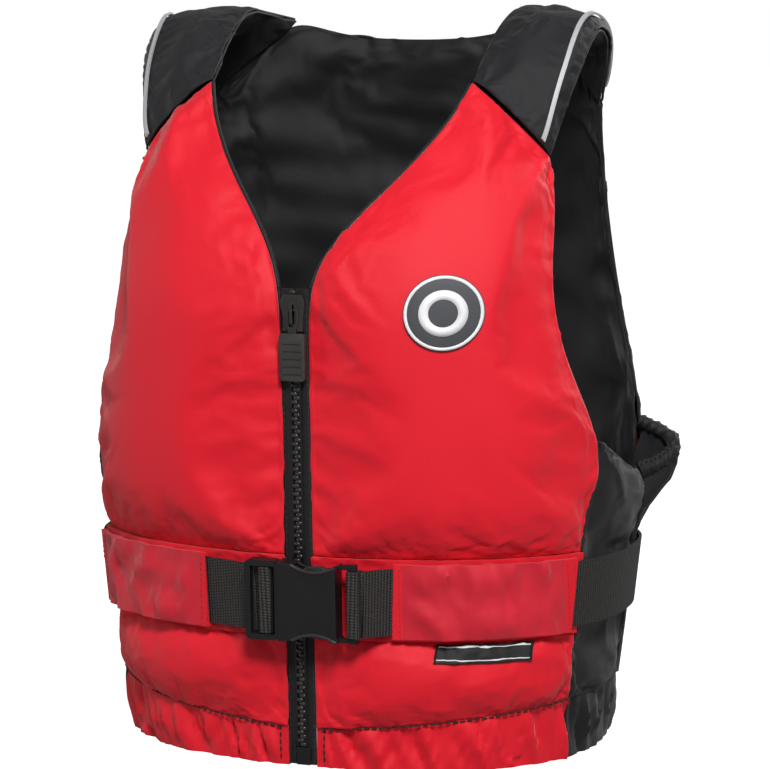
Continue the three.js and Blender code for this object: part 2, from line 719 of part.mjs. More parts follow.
addPair('reflective_piping', slab(1, 16, 0, (u, v, side) => {
  const w = PIPING_SHARE + ((u - 0.5) * PIPING_WIDTH) / STRAP_SIZE[0];
  const s = lerp(0.012, 0.978, v);
  return strapPoint(w, s, strapFace(w, s) + SEAM_GAP + side * PIPING_HEIGHT);
}), REFLECTIVE);

// ---- Belt: webbing, tunnels and the back sleeve -----------------------------------------------

const WEBBING_FACE = BAND_THICKNESS + BELT_GAP;
const TUNNEL_ROOF = WEBBING_FACE + WEBBING_THICKNESS + BELT_GAP;

// A sleeve over the webbing: a channel section, open towards the band, carried round the ring.
function sleeve(from, to, steps) {
  const half = WEBBING_WIDTH / 2 + BELT_GAP;
  const outer = half + TUNNEL_HEM;
  const top = TUNNEL_ROOF + TUNNEL_WALL;
  const foot = BAND_THICKNESS + SEAM_GAP;
  const section = new THREE.Shape([
    [foot, -outer], [top, -outer], [top, outer], [foot, outer],
    [foot, half], [TUNNEL_ROOF, half], [TUNNEL_ROOF, -half], [foot, -half],
  ].map(([x, y]) => new THREE.Vector2(x, y)));
  const geometry = new THREE.ExtrudeGeometry(section, { depth: 1, steps, bevelEnabled: false });
  return mapped(geometry, (outwards, up, share) =>
    ring(lerp(from, to, share), BELT_HEIGHT + up, outwards));
}
const TUNNEL_INNER_ANGLE = angleAt(TUNNEL_INNER_X, BELT_HEIGHT);
addPair('belt_tunnel', sleeve(TUNNEL_INNER_ANGLE, TUNNEL_OUTER_ANGLE, 8), DULL_RED);
addPiece(jacket, 'belt_tunnel_back', sleeve(BACK_TUNNEL_ANGLE, 360 - BACK_TUNNEL_ANGLE, 12), DULL_RED);

// Webbing on the ring: angles along it, from its lower to its upper edge.
function webbingPoint(degrees, v, side) {
  const up = (v - 0.5) * WEBBING_WIDTH;
  return ring(degrees, BELT_HEIGHT + up, WEBBING_FACE + side * WEBBING_THICKNESS);
}

const JOIN_GAP = 0.2;
const BACK_STATIONS = 44;
const backAngles = Array.from({ length: BACK_STATIONS + 1 }, (_, i) =>
  lerp(WEBBING_JOIN_ANGLE + JOIN_GAP, 360 - WEBBING_JOIN_ANGLE - JOIN_GAP, i / BACK_STATIONS));
addPiece(jacket, 'belt_webbing_back', slabOver(backAngles, [0, 1], webbingPoint), WEBBING);

// ---- Buckle ------------------------------------------------------------------------------

// The zip and the buckle share the lean of the jacket's front.
const zipStart = ring(0, ZIP_FOOT, 0);
const zipEnd = ring(0, ZIP_TOP, 0);
const FRONT_LEAN = Math.atan2(zipStart.y - zipEnd.y, zipEnd.z - zipStart.z);

const buckle = new THREE.Group();
buckle.position.copy(ring(0, BELT_HEIGHT, BUCKLE_STAND_OFF));
buckle.rotation.x = FRONT_LEAN;
jacket.add(buckle);
buckle.updateMatrixWorld(true);

const HALF = BUCKLE_HEIGHT / 2;
const CAVITY_HALF = HALF - BUCKLE_WALL;
const CAVITY_FRONT = -BUCKLE_DEPTH + BUCKLE_WALL;
const CAVITY_REAR = -BUCKLE_WALL;
const MID_DEPTH = -BUCKLE_DEPTH / 2;
const RAIL = HALF - WEBBING_WIDTH / 2 - BUCKLE_GAP * 2;
const WAIST_RADIUS = 26;

// Socket: a hollow box with hollowed flanks, two windows for the arms and an end bar.
const flank = (sign) => arc(16, sign * (HALF + 21), WAIST_RADIUS, sign * -122, sign * -58, 8);
const socketOutline = [
  [BUCKLE_PARTING, -HALF],
  ...flank(-1),
  [SOCKET_END, -HALF],
  [SOCKET_END, HALF],
  ...flank(1).reverse(),
  [BUCKLE_PARTING, HALF],
];
const WINDOW_FROM = 4;
const WINDOW_TO = 27;
const BAR_FRONT = MID_DEPTH - 2;
const BAR_REAR = MID_DEPTH + 2;
const socketBody = plate(socketOutline, -BUCKLE_DEPTH, 0);
const socketCavity = block(
  [BUCKLE_PARTING - 1, CAVITY_FRONT, -CAVITY_HALF],
  [SOCKET_BODY_END - BUCKLE_WALL, CAVITY_REAR, CAVITY_HALF]);
const socketWindows = [-1, 1].map((sign) => block(
  [WINDOW_FROM, CAVITY_FRONT + 0.6, Math.min(sign * 17, sign * 30)],
  [WINDOW_TO, CAVITY_REAR - 0.6, Math.max(sign * 17, sign * 30)]));
const socketSlot = block(
  [SOCKET_BODY_END, -BUCKLE_DEPTH - 1, -HALF + RAIL],
  [SOCKET_END - BUCKLE_BAR, 1, HALF - RAIL]);
const barShave = [
  block([SOCKET_BODY_END + 1, BAR_REAR, -HALF - 1], [SOCKET_END + 1, 1, HALF + 1]),
  block([SOCKET_BODY_END + 1, -BUCKLE_DEPTH - 1, -HALF - 1], [SOCKET_END + 1, BAR_FRONT, HALF + 1]),
];
addPiece(buckle, 'buckle_socket',
  cut(socketBody, socketCavity, ...socketWindows, socketSlot, ...barShave), PLASTIC);

// Plug: a ladder frame for the webbing, a base and a guide tongue.
const PLUG_FRAME_END = BUCKLE_PARTING - BUCKLE_GAP;
const LOOP_BAR_LEFT = -17.4;
const PLUG_FRONT = -BUCKLE_DEPTH + 1.5;
const PLUG_REAR = -1.5;
const plugFrame = plate(roundedRectangle(PLUG_END, -HALF, PLUG_FRAME_END, HALF, 3), PLUG_FRONT, PLUG_REAR, [
  roundedRectangle(PLUG_END + BUCKLE_BAR, -HALF + RAIL, LOOP_BAR_LEFT, HALF - RAIL, 0.6),
  roundedRectangle(LOOP_BAR_LEFT + BUCKLE_BAR, -HALF + RAIL, PLUG_FRAME_END - 1.6, HALF - RAIL, 0.6),
]);
const END_BAR_REAR = BAR_REAR - WEBBING_THICKNESS;
const barLevel = [
  block([PLUG_END - 1, END_BAR_REAR, -HALF + RAIL], [PLUG_END + BUCKLE_BAR + 0.1, 1, HALF - RAIL]),
  block([LOOP_BAR_LEFT - 0.1, BAR_REAR, -HALF + RAIL], [LOOP_BAR_LEFT + BUCKLE_BAR + 0.1, 1, HALF - RAIL]),
  block([PLUG_END + BUCKLE_BAR, PLUG_FRONT - 1, -HALF + RAIL],
    [LOOP_BAR_LEFT + BUCKLE_BAR + 0.1, BAR_FRONT, HALF - RAIL]),
];
const tongue = plate([
  [PLUG_FRAME_END - 1, -TONGUE_HALF_HEIGHT - 2], [0, -TONGUE_HALF_HEIGHT],
  [20, -TONGUE_HALF_HEIGHT + 1], [24, -TONGUE_HALF_HEIGHT + 3],
  [24, TONGUE_HALF_HEIGHT - 3], [20, TONGUE_HALF_HEIGHT - 1],
  [0, TONGUE_HALF_HEIGHT], [PLUG_FRAME_END - 1, TONGUE_HALF_HEIGHT + 2],
], BAR_FRONT, BAR_REAR);
const ARM_FRONT = MID_DEPTH - 2.5;
const ARM_REAR = MID_DEPTH + 2.5;
const ROOT_TOP = 18;
const ROOT_LOW = 12;
const roots = [-1, 1].map((sign) => plate([
  [PLUG_FRAME_END - 1, sign * ROOT_LOW],
  [ARM_ROOT_X - 1.6, sign * ROOT_LOW],
  [ARM_ROOT_X - 1.6, sign * ROOT_TOP],
  [PLUG_FRAME_END - 1, sign * ROOT_TOP],
], ARM_FRONT, ARM_REAR));
addPiece(buckle, 'buckle_plug', joined(cut(plugFrame, ...barLevel), tongue, ...roots), PLASTIC);

// Release arms: each springs from its root and ends in a thumb-shaped head behind a window.
function releaseArm(sign) {
  const reach = CAVITY_HALF - BUCKLE_GAP;
  const outline = [
    [-1.2, ROOT_LOW + 1], [ARM_LENGTH * 0.45, reach - 8], [ARM_LENGTH * 0.62, reach - 6],
    [ARM_LENGTH - 3, reach - 6.5], [ARM_LENGTH, reach - 4], [ARM_LENGTH - 0.6, reach - 1.2],
    [ARM_LENGTH - 4, reach], [ARM_LENGTH * 0.55, reach - 0.6],
    [ARM_LENGTH * 0.4, reach - 8 + ARM_THICKNESS + 1], [-1.2, ROOT_LOW + 1 + ARM_THICKNESS],
  ].map(([x, z]) => [x, sign * (z - ROOT_LOW - 1 - ARM_THICKNESS / 2)]);
  return plate(outline, ARM_FRONT, ARM_REAR);
}
for (const [name, sign] of [['release_arm_upper', 1], ['release_arm_lower', -1]]) {
  const arm = addPiece(buckle, name, releaseArm(sign), PLASTIC);
  arm.position.set(ARM_ROOT_X, 0, sign * (ROOT_LOW + 1 + ARM_THICKNESS / 2));
}

// Webbing loops, folded round the plug's inner bar and round the socket's end bar.
const LOOP_CLEAR = 0.3;
function loop(barLeft) {
  const left = barLeft - LOOP_CLEAR;
  const right = barLeft + BUCKLE_BAR + LOOP_CLEAR;
  const front = BAR_FRONT - LOOP_CLEAR;
  const rear = BAR_REAR + LOOP_CLEAR;
  const t = WEBBING_THICKNESS;
  const outline = roundedRectangle(left - t, front - t, right + t, rear + t, 0.8 * t);
  const shape = new THREE.Shape(outline.map(([x, y]) => new THREE.Vector2(x, y)));
  const hole = [[left, front], [left, rear], [right, rear], [right, front]];
  shape.holes.push(new THREE.Path(hole.map(([x, y]) => new THREE.Vector2(x, y))));
  const geometry = new THREE.ExtrudeGeometry(shape, { depth: WEBBING_WIDTH, bevelEnabled: false });
  return mapped(geometry, (x, y, up) => new THREE.Vector3(x, y, up - WEBBING_WIDTH / 2));
}
const SOCKET_BAR_LEFT = SOCKET_END - BUCKLE_BAR;
addPiece(buckle, 'webbing_loop_plug', loop(LOOP_BAR_LEFT), WEBBING);
addPiece(buckle, 'webbing_loop_socket', loop(SOCKET_BAR_LEFT), WEBBING);

// Front strips of webbing, from the middle of each tunnel to the loops. They follow the ring
// inside the tunnel, and run straight from its mouth to the level of the buckle's bars.
const STRIP_REAR = BAR_REAR + LOOP_CLEAR;
function frontStrip(sign, loopEdge) {
  const stations = Array.from({ length: 6 }, (_, i) => {
    const degrees = lerp(WEBBING_JOIN_ANGLE, TUNNEL_INNER_ANGLE, i / 5) * sign;
    return (v, side) => webbingPoint(degrees, v, side);
  });
  for (const away of [2, SEAM_GAP]) {
    stations.push((v, side) => new THREE.Vector3(
      loopEdge + sign * away,
      STRIP_REAR - side * WEBBING_THICKNESS,
      (v - 0.5) * WEBBING_WIDTH).applyMatrix4(buckle.matrixWorld));
  }
  const shares = stations.map((_, i) => i);
  return slabOver(shares, [0, 1], (u, v, side) => stations[u](v, side));
}
const plugLoopEdge = LOOP_BAR_LEFT - LOOP_CLEAR - WEBBING_THICKNESS;
const socketLoopEdge = SOCKET_END + LOOP_CLEAR + WEBBING_THICKNESS;
addPiece(jacket, 'belt_webbing_right_front', frontStrip(-1, plugLoopEdge), WEBBING);
addPiece(jacket, 'belt_webbing_left_front', frontStrip(1, socketLoopEdge), WEBBING);

// ---- Zip -----------------------------------------------------------------------------------

// The zip lies in its own leaning frame: Z runs up the zip, -Y out of the jacket.
const zip = new THREE.Group();
zip.position.copy(zipStart);
zip.rotation.x = FRONT_LEAN;
jacket.add(zip);

const TAPE_LENGTH = zipStart.distanceTo(zipEnd);
const TAPE_FACE = ZIP_GAP + TAPE_THICKNESS;
const TOOTH_REAR = TAPE_FACE + ZIP_GAP;
const TOOTH_FACE = TOOTH_REAR + TOOTH_DEPTH;
const CHAIN_START = BOX_HEIGHT + 1.5;
const TOP_STOP = 3;
const SLIDER_TOP = TAPE_LENGTH - TOP_STOP;
const CHAIN_END = SLIDER_TOP - 2;

for (const [name, sign] of [['left', 1], ['right', -1]]) {
  const tape = block([0.6, -TAPE_FACE, 0], [ZIP_HALF_WIDTH, -ZIP_GAP, TAPE_LENGTH]);
  addPiece(zip, `zip_tape_${name}`, sign > 0 ? bare(tape) : mirrored(tape), BLACK);

  // One side of the chain: a comb of teeth on their cord, with the top stop at its end.
  // The two sides mesh half a pitch apart.
  const first = CHAIN_START + (sign > 0 ? 0 : TOOTH_PITCH / 2);
  const teeth = [];
  for (let z = first; z + TOOTH_HEIGHT < CHAIN_END; z += TOOTH_PITCH) {
    teeth.push([CORD_INNER_X, z], [-TOOTH_REACH, z]);
    teeth.push([-TOOTH_REACH, z + TOOTH_HEIGHT], [CORD_INNER_X, z + TOOTH_HEIGHT]);
  }
  const outline = [
    [CORD_INNER_X, CHAIN_START - 1], [CORD_OUTER_X, CHAIN_START - 1],
    [CORD_OUTER_X, TAPE_LENGTH - 0.5], [CORD_INNER_X - 1, TAPE_LENGTH - 0.5],
    [CORD_INNER_X - 1, TAPE_LENGTH - TOP_STOP], [CORD_INNER_X, TAPE_LENGTH - TOP_STOP],
    ...teeth.reverse(),
  ];
  const chain = plate(outline.map(([x, z]) => [x * sign, z]), -TOOTH_FACE, -TOOTH_REAR);
  addPiece(zip, `zip_teeth_${name}`, chain, PLASTIC);
}

// Retainer box on one tape and the insertion pin beside it, on the other.
const box = block([-3.4, -TOOTH_FACE - 0.8, 0.3], [BOX_WIDTH - 3.4, -TOOTH_REAR, BOX_HEIGHT]);
addPiece(zip, 'zip_retainer_box', bare(box), PLASTIC);
const pin = block([-6, -TOOTH_FACE, 1], [-3.4 - ZIP_GAP, -TOOTH_REAR, BOX_HEIGHT + 2]);
addPiece(zip, 'zip_insertion_pin', bare(pin), PLASTIC);

// Slider: a plate over the chain with a flange down each side, and a crown for the pull.
const slider = new THREE.Group();
slider.position.set(0, 0, SLIDER_TOP - SLIDER_LENGTH);
zip.add(slider);
const PLATE_REAR = TOOTH_FACE + ZIP_GAP;
const PLATE_FACE = PLATE_REAR + SLIDER_PLATE;
const SLIDER_HALF_TOP = 7.6;
const SLIDER_HALF_FOOT = 6.2;
const sliderOutline = [
  [-SLIDER_HALF_FOOT, 0], [SLIDER_HALF_FOOT, 0], [SLIDER_HALF_FOOT, 8],
  [SLIDER_HALF_TOP, SLIDER_LENGTH - 5], [SLIDER_HALF_TOP - 2, SLIDER_LENGTH],
  [-SLIDER_HALF_TOP + 2, SLIDER_LENGTH], [-SLIDER_HALF_TOP, SLIDER_LENGTH - 5],
  [-SLIDER_HALF_FOOT, 8],
];
const sliderPlate = plate(sliderOutline, -PLATE_FACE, -PLATE_REAR);
const flanges = [-1, 1].map((sign) => {
  const innerX = SLIDER_HALF_FOOT - SLIDER_FLANGE;
  return block(
    [Math.min(sign * innerX, sign * SLIDER_HALF_FOOT), -PLATE_REAR - 0.5, 0],
    [Math.max(sign * innerX, sign * SLIDER_HALF_FOOT), -TAPE_FACE - ZIP_GAP, SLIDER_LENGTH - 5]);
});
const CROWN_FOOT = 5;
const CROWN_TOP = 17;
const CROWN_FACE = PLATE_FACE + CROWN_HEIGHT;
const crownBar = cut(
  block([-CROWN_WIDTH / 2, -CROWN_FACE, CROWN_FOOT], [CROWN_WIDTH / 2, -PLATE_FACE + 0.3, CROWN_TOP]),
  block([-CROWN_WIDTH, -PLATE_FACE - CROWN_HEIGHT + 1.1, CROWN_FOOT + 2],
    [CROWN_WIDTH, -PLATE_FACE - 0.05, CROWN_TOP - 2]));
addPiece(slider, 'zip_slider', joined(sliderPlate, ...flanges, crownBar), PLASTIC);

// Pull tab: a forked link whose cross pin sits under the crown, with the grip on its tail.
const PULL_PIVOT = new THREE.Vector3(0, -(PLATE_FACE + 1.05), CROWN_TOP - 4);
const pull = new THREE.Group();
pull.position.copy(PULL_PIVOT);
slider.add(pull);
const PIN = 0.7;
const TAB_HALF = 4.2;
const FORK_GAP = 2;
const tabOutline = [
  [-TAB_HALF, PIN], [-TAB_HALF, -9], [-2.6, -12], [-2.6, -TAB_LENGTH],
  [2.6, -TAB_LENGTH], [2.6, -12], [TAB_HALF, -9], [TAB_HALF, PIN],
];
const forkWindow = [[-FORK_GAP, -PIN], [FORK_GAP, -PIN], [FORK_GAP, -10], [-FORK_GAP, -10]];
const tab = plate(tabOutline, -TAB_THICKNESS / 2, TAB_THICKNESS / 2, [forkWindow]);
addPiece(pull, 'zip_pull_tab', tab, PLASTIC);

const GRIP_TOP = -13.8;
const gripFace = -GRIP_THICKNESS / 2;
const gripBody = plate(
  roundedRectangle(-GRIP_WIDTH / 2, GRIP_TOP - GRIP_LENGTH, GRIP_WIDTH / 2, GRIP_TOP, 2),
  gripFace, GRIP_THICKNESS / 2);
const gripSocket = block(
  [-2.6 - ZIP_GAP, -TAB_THICKNESS / 2 - ZIP_GAP, -TAB_LENGTH - ZIP_GAP],
  [2.6 + ZIP_GAP, TAB_THICKNESS / 2 + ZIP_GAP, GRIP_TOP + 1]);
const RIB_COUNT = 5;
const gripGrooves = Array.from({ length: RIB_COUNT }, (_, i) => {
  const z = GRIP_TOP - 6 - (i * (GRIP_LENGTH - 10)) / (RIB_COUNT - 1);
  return block([-GRIP_WIDTH / 2 + 2.5, gripFace - 1, z - 1.6], [GRIP_WIDTH / 2 - 2.5, gripFace + 0.5, z]);
});
addPiece(pull, 'zip_pull_grip', cut(gripBody, gripSocket, ...gripGrooves), PLASTIC);

// ---- Trim ------------------------------------------------------------------------------------

// Lays a flat piece, drawn in millimetres about its centre, on the outer face of a patch.
function laidOn(patch, [u0, v0], geometry) {
  const [width, height] = patchSize(patch);
  return mapped(geometry, (x, y, thickness) => {
    const u = u0 + x / width;
    const v = v0 + y / height;
    return patchPoint(patch, u, v, outerFace(patch, u, v) + TRIM_GAP + thickness);
  });
}
const disc = new THREE.CylinderGeometry(BADGE_DIAMETER / 2, BADGE_DIAMETER / 2, TRIM_THICKNESS, 32);
disc.rotateX(Math.PI / 2);
disc.translate(0, 0, TRIM_THICKNESS / 2);
addPiece(jacket, 'chest_badge', laidOn(chest, BADGE_AT, disc), REFLECTIVE);

const label = new THREE.BoxGeometry(LABEL_WIDTH, LABEL_HEIGHT, TRIM_THICKNESS, 6, 2, 1);
label.translate(0, 0, TRIM_THICKNESS / 2);
const labelShare = 1 - (LABEL_HEIGHT / 2 + 1.5) / patchSize(waist)[1];
addPiece(jacket, 'woven_label', laidOn(waist, [LABEL_AT, labelShare], label), BLACK);

// ---- Place the origin under the middle of the box ----------------------------------------------

const bounds = new THREE.Box3().setFromObject(jacket, true);
const middle = bounds.getCenter(new THREE.Vector3());
jacket.position.set(-middle.x, -middle.y, -bounds.min.z);

export default jacket;
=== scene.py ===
import math

import bmesh
import bpy
from mathutils import Matrix, Vector, noise
from mathutils.bvhtree import BVHTree
from mathutils.kdtree import KDTree


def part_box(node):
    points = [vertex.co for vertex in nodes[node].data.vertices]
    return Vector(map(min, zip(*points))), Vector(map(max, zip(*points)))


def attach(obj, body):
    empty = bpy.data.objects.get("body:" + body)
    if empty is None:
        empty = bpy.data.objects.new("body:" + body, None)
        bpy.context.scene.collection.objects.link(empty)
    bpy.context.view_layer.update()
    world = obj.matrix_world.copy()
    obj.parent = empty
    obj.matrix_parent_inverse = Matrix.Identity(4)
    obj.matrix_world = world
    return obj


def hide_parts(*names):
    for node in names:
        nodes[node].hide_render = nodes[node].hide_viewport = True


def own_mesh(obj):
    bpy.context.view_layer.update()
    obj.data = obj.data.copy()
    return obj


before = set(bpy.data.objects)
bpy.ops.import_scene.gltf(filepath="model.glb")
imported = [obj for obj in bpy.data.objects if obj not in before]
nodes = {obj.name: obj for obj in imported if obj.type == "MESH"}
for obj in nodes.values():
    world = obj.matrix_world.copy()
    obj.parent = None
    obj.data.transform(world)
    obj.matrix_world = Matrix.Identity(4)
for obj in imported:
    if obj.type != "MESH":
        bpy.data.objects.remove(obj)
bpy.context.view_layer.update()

scene = bpy.context.scene

# ---- Camera, light and floor -------------------------------------------------------------------
# The jacket stands on a pale floor under soft studio light. The camera looks a little down
# on it, from the wearer's left of the zip.
camera = bpy.data.objects.new("camera", bpy.data.cameras.new("camera"))
scene.collection.objects.link(camera)
scene.camera = camera
CAMERA_TURN = math.radians(19.915)
CAMERA_DISTANCE = 1.8387
CAMERA_HEIGHT = 0.4346
LOOKS_DOWN = math.radians(6.734)
camera.location = (math.sin(CAMERA_TURN) * CAMERA_DISTANCE,
                   -math.cos(CAMERA_TURN) * CAMERA_DISTANCE + 0.0021, CAMERA_HEIGHT)
camera.rotation_euler = (math.pi / 2 - LOOKS_DOWN, 0, CAMERA_TURN)
camera.data.lens = 138.0
camera.data.shift_x = 0.0216

floor_mesh = bmesh.new()
bmesh.ops.create_grid(floor_mesh, x_segments=1, y_segments=1, size=40)
floor_data = bpy.data.meshes.new("floor")
floor_mesh.to_mesh(floor_data)
floor_mesh.free()
floor = bpy.data.objects.new("floor", floor_data)
scene.collection.objects.link(floor)
floor_paint = bpy.data.materials.new("studio_floor")
floor_paint.use_nodes = True
floor_shader = floor_paint.node_tree.nodes["Principled BSDF"]
floor_shader.inputs["Base Color"].default_value = (0.3, 0.3, 0.3, 1)
floor_shader.inputs["Roughness"].default_value = 0.9
floor_shader.inputs["Emission Color"].default_value = (1, 1, 1, 1)


def bright_to_camera(tree, strength, lit, shown):
    """Sets a strength to one value for the camera and another for the light it gives."""
    seen = tree.nodes.new("ShaderNodeLightPath")
    level = tree.nodes.new("ShaderNodeMapRange")
    level.inputs["To Min"].default_value = lit
    level.inputs["To Max"].default_value = shown
    tree.links.new(seen.outputs["Is Camera Ray"], level.inputs["Value"])
    tree.links.new(level.outputs[0], strength)


bright_to_camera(floor_paint.node_tree, floor_shader.inputs["Emission Strength"], 0.0, 1.0)
floor_data.materials.append(floor_paint)

world = bpy.data.worlds.new("studio")
scene.world = world
world.use_nodes = True
backdrop = world.node_tree.nodes["Background"]
backdrop.inputs["Color"].default_value = (1, 1, 1, 1)
bright_to_camera(world.node_tree, backdrop.inputs["Strength"], 0.2, 1.0)
scene.view_settings.view_transform = "Standard"


def softbox(name, place, aim, size, power):
    lamp = bpy.data.lights.new(name, "AREA")
    lamp.shape = "RECTANGLE"
    lamp.size, lamp.size_y = size
    lamp.energy = power
    holder = bpy.data.objects.new(name, lamp)
    scene.collection.objects.link(holder)
    holder.location = place
    holder.rotation_euler = (Vector(aim) - Vector(place)).to_track_quat("-Z", "Y").to_euler()


softbox("key_light", (0.75, -1.5, 1.6), (0, -0.05, 0.34), (0.5, 0.5), 52)
softbox("side_light", (1.7, -0.7, 0.5), (0, 0, 0.2), (0.3, 0.9), 2.5)
softbox("fill_light", (-1.7, -0.7, 0.5), (0, 0, 0.25), (0.3, 1.0), 6)
softbox("rim_light", (0.9, 1.4, 1.2), (0, 0, 0.25), (0.6, 1.0), 16)

# ---- Cloth finishes ----------------------------------------------------------------------------
# The covers are coated nylon in a fine plain weave: a soft sheen, slightly uneven dye, and
# tiny slubs. The same weave at other scales serves the lining, the webbing and the tapes.


def new_group(name, takes, gives):
    group = bpy.data.node_groups.new(name, "ShaderNodeTree")
    for direction, sockets in (("INPUT", takes), ("OUTPUT", gives)):
        for socket, kind in sockets:
            group.interface.new_socket(socket, in_out=direction, socket_type="NodeSocket" + kind)
    return group, group.nodes.new("NodeGroupInput"), group.nodes.new("NodeGroupOutput")


def calc(tree, operation, first, second=None):
    node = tree.nodes.new("ShaderNodeMath")
    node.operation = operation
    for socket, value in zip(node.inputs, (first, second)):
        if isinstance(value, (int, float)):
            socket.default_value = value
        elif value is not None:
            tree.links.new(value, socket)
    return node.outputs[0]


def cloud(tree, scale, detail):
    place = tree.nodes.new("ShaderNodeTexCoord")
    node = tree.nodes.new("ShaderNodeTexNoise")
    node.inputs["Scale"].default_value = scale
    node.inputs["Detail"].default_value = detail
    tree.links.new(place.outputs["Object"], node.inputs["Vector"])
    return node.outputs[0]


def thread_axes_group():
    """How far a point is along the threads that run round the body and up it."""
    group, _, outputs = new_group("thread_axes", (), (("Around", "Float"), ("Up", "Float")))
    place = group.nodes.new("ShaderNodeTexCoord")
    axes = group.nodes.new("ShaderNodeSeparateXYZ")
    group.links.new(place.outputs["Object"], axes.inputs[0])
    x, y, z = axes.outputs
    around = calc(group, "SUBTRACT", calc(group, "ABSOLUTE", x), calc(group, "ABSOLUTE", y))
    group.links.new(around, outputs.inputs["Around"])
    group.links.new(calc(group, "ADD", z, calc(group, "MULTIPLY", y, 0.5)), outputs.inputs["Up"])
    return group


THREAD_AXES = thread_axes_group()


def weave_group(name, ribbed):
    """Bump height, colour and roughness of a woven cloth, plain or in heavy ribs. The colour carries painted
    shade between the threads and painted highlight on their crests, over uneven dye and slubs.
    """
    group, inputs, outputs = new_group(
        name,
        (("Colour", "Color"), ("Around", "Float"), ("Up", "Float"), ("Mottle", "Float"), ("Fuzz", "Float"),
         ("Contrast", "Float")),
        (("Colour", "Color"), ("Height", "Float"), ("Roughness", "Float")))
    axes = group.nodes.new("ShaderNodeGroup")
    axes.node_tree = THREAD_AXES
    waves = [
        calc(group, "SINE", calc(group, "DIVIDE", calc(group, "MULTIPLY", axes.outputs[way], 2 * math.pi),
                                 inputs.outputs[way]))
        for way in ("Around", "Up")]
    if ribbed:
        crest = calc(group, "POWER", calc(group, "ABSOLUTE", waves[0]), 1.3)
        beads = calc(group, "ADD", calc(group, "MULTIPLY", waves[1], 0.25), 0.8)
        check = calc(group, "SUBTRACT", calc(group, "MULTIPLY", crest, beads), 0.4)
    else:
        check = calc(group, "MULTIPLY", waves[0], waves[1])
    slubs = cloud(group, 900, 3)
    patches = cloud(group, 14, 4)
    height = calc(group, "ADD", calc(group, "MULTIPLY", check, 0.35),
                  calc(group, "MULTIPLY", slubs, inputs.outputs["Fuzz"]))
    group.links.new(height, outputs.inputs["Height"])
    # The weave pattern is painted into the colour here: painted shade in the grooves between threads and
    # painted highlight on their crests. The slubs add real uneven yarn tone.
    grain = calc(group, "ADD", check, calc(group, "SUBTRACT", slubs, 0.5))
    shade = calc(group, "ADD",
                 calc(group, "MULTIPLY", calc(group, "SUBTRACT", patches, 0.5), inputs.outputs["Mottle"]),
                 calc(group, "MULTIPLY", grain, inputs.outputs["Contrast"]))
    tint = group.nodes.new("ShaderNodeHueSaturation")
    group.links.new(inputs.outputs["Colour"], tint.inputs["Color"])
    group.links.new(calc(group, "ADD", shade, 1.0), tint.inputs["Value"])
    group.links.new(tint.outputs[0], outputs.inputs["Colour"])
    group.links.new(calc(group, "ADD", calc(group, "MULTIPLY", patches, 0.16), 0.5),
                    outputs.inputs["Roughness"])
    return group


PLAIN_WEAVE = weave_group("plain_weave", False)


def cloth_finish(name, colour, thread, depth, mottle=0.25, fuzz=0.5, sheen=0.1,
                 weave=PLAIN_WEAVE, slubs_and_weave_shade=0.06):
    """A woven finish: thread pitch (round, up) and bump depth in metres."""
    material = bpy.data.materials.new(name)
    material.use_nodes = True
    tree = material.node_tree
    shader = tree.nodes["Principled BSDF"]
    shader.inputs["Sheen Weight"].default_value = sheen
    shader.inputs["Sheen Roughness"].default_value = 0.4
    shader.inputs["Specular IOR Level"].default_value = 0.3
    woven = tree.nodes.new("ShaderNodeGroup")
    woven.node_tree = weave
    woven.inputs["Colour"].default_value = (*colour, 1)
    woven.inputs["Around"].default_value, woven.inputs["Up"].default_value = thread
    woven.inputs["Mottle"].default_value = mottle
    woven.inputs["Fuzz"].default_value = fuzz
    woven.inputs["Contrast"].default_value = slubs_and_weave_shade
    bump = tree.nodes.new("ShaderNodeBump")
    bump.inputs["Distance"].default_value = depth
    tree.links.new(woven.outputs["Colour"], shader.inputs["Base Color"])
    tree.links.new(woven.outputs["Roughness"], shader.inputs["Roughness"])
    tree.links.new(woven.outputs["Height"], bump.inputs["Height"])
    tree.links.new(bump.outputs[0], shader.inputs["Normal"])
    return material


BLACK_DYE = (0.007, 0.007, 0.0085)
red_nylon = cloth_finish("red_nylon", (0.63, 0.004, 0.016), (0.0011, 0.0011), 0.00012,
                         mottle=0.12, sheen=0.12)
black_nylon = cloth_finish("black_nylon", BLACK_DYE, (0.0013, 0.0013), 0.0002, mottle=0.5)
lining_nylon = cloth_finish("lining_nylon", (0.005, 0.005, 0.006), (0.0014, 0.0014), 0.0002, mottle=0.5)

# ---- Padded panels: covers ---------------------------------------------------------------------
# Each panel is a nylon cover sewn over sheet foam and held along its seams. The cover is cut
# a little larger than the foam, so it stands up softly and puckers next to the stitching.
SIDES = {"left": 1, "right": -1}
WELD = 1e-5
THROUGH_EDGE = 0.0013
COVER_CLOTH = 0.0016
LINING_CLOTH = 0.0013


def island_of(seed):
    found, todo = {seed}, [seed]
    while todo:
        for edge in todo.pop().link_edges:
            for vert in edge.verts:
                if vert not in found:
                    found.add(vert)
                    todo.append(vert)
    return found


def open_face(node, rank):
    """The face of a thin CAD skin that lies furthest by rank, as quads without its rim."""
    skin = bmesh.new()
    skin.from_mesh(nodes[node].data)
    bmesh.ops.remove_doubles(skin, verts=skin.verts, dist=WELD)
    rim = [f for f in skin.faces if any(e.calc_length() < THROUGH_EDGE for e in f.edges)]
    bmesh.ops.delete(skin, geom=rim, context="FACES")
    left, islands = set(skin.verts), []
    while left:
        island = island_of(next(iter(left)))
        left -= island
        islands.append(island)
    islands.sort(key=lambda island: sum(rank(v.co) for v in island) / len(island))
    spare = [v for island in islands[:-1] for v in island]
    bmesh.ops.delete(skin, geom=spare, context="VERTS")
    bmesh.ops.join_triangles(skin, faces=skin.faces, angle_face_threshold=math.pi,
                             angle_shape_threshold=math.pi)
    return skin


def outward_of_body(point):
    return math.hypot(point.x, point.y)


def inward_of_body(point):
    return -math.hypot(point.x, point.y)


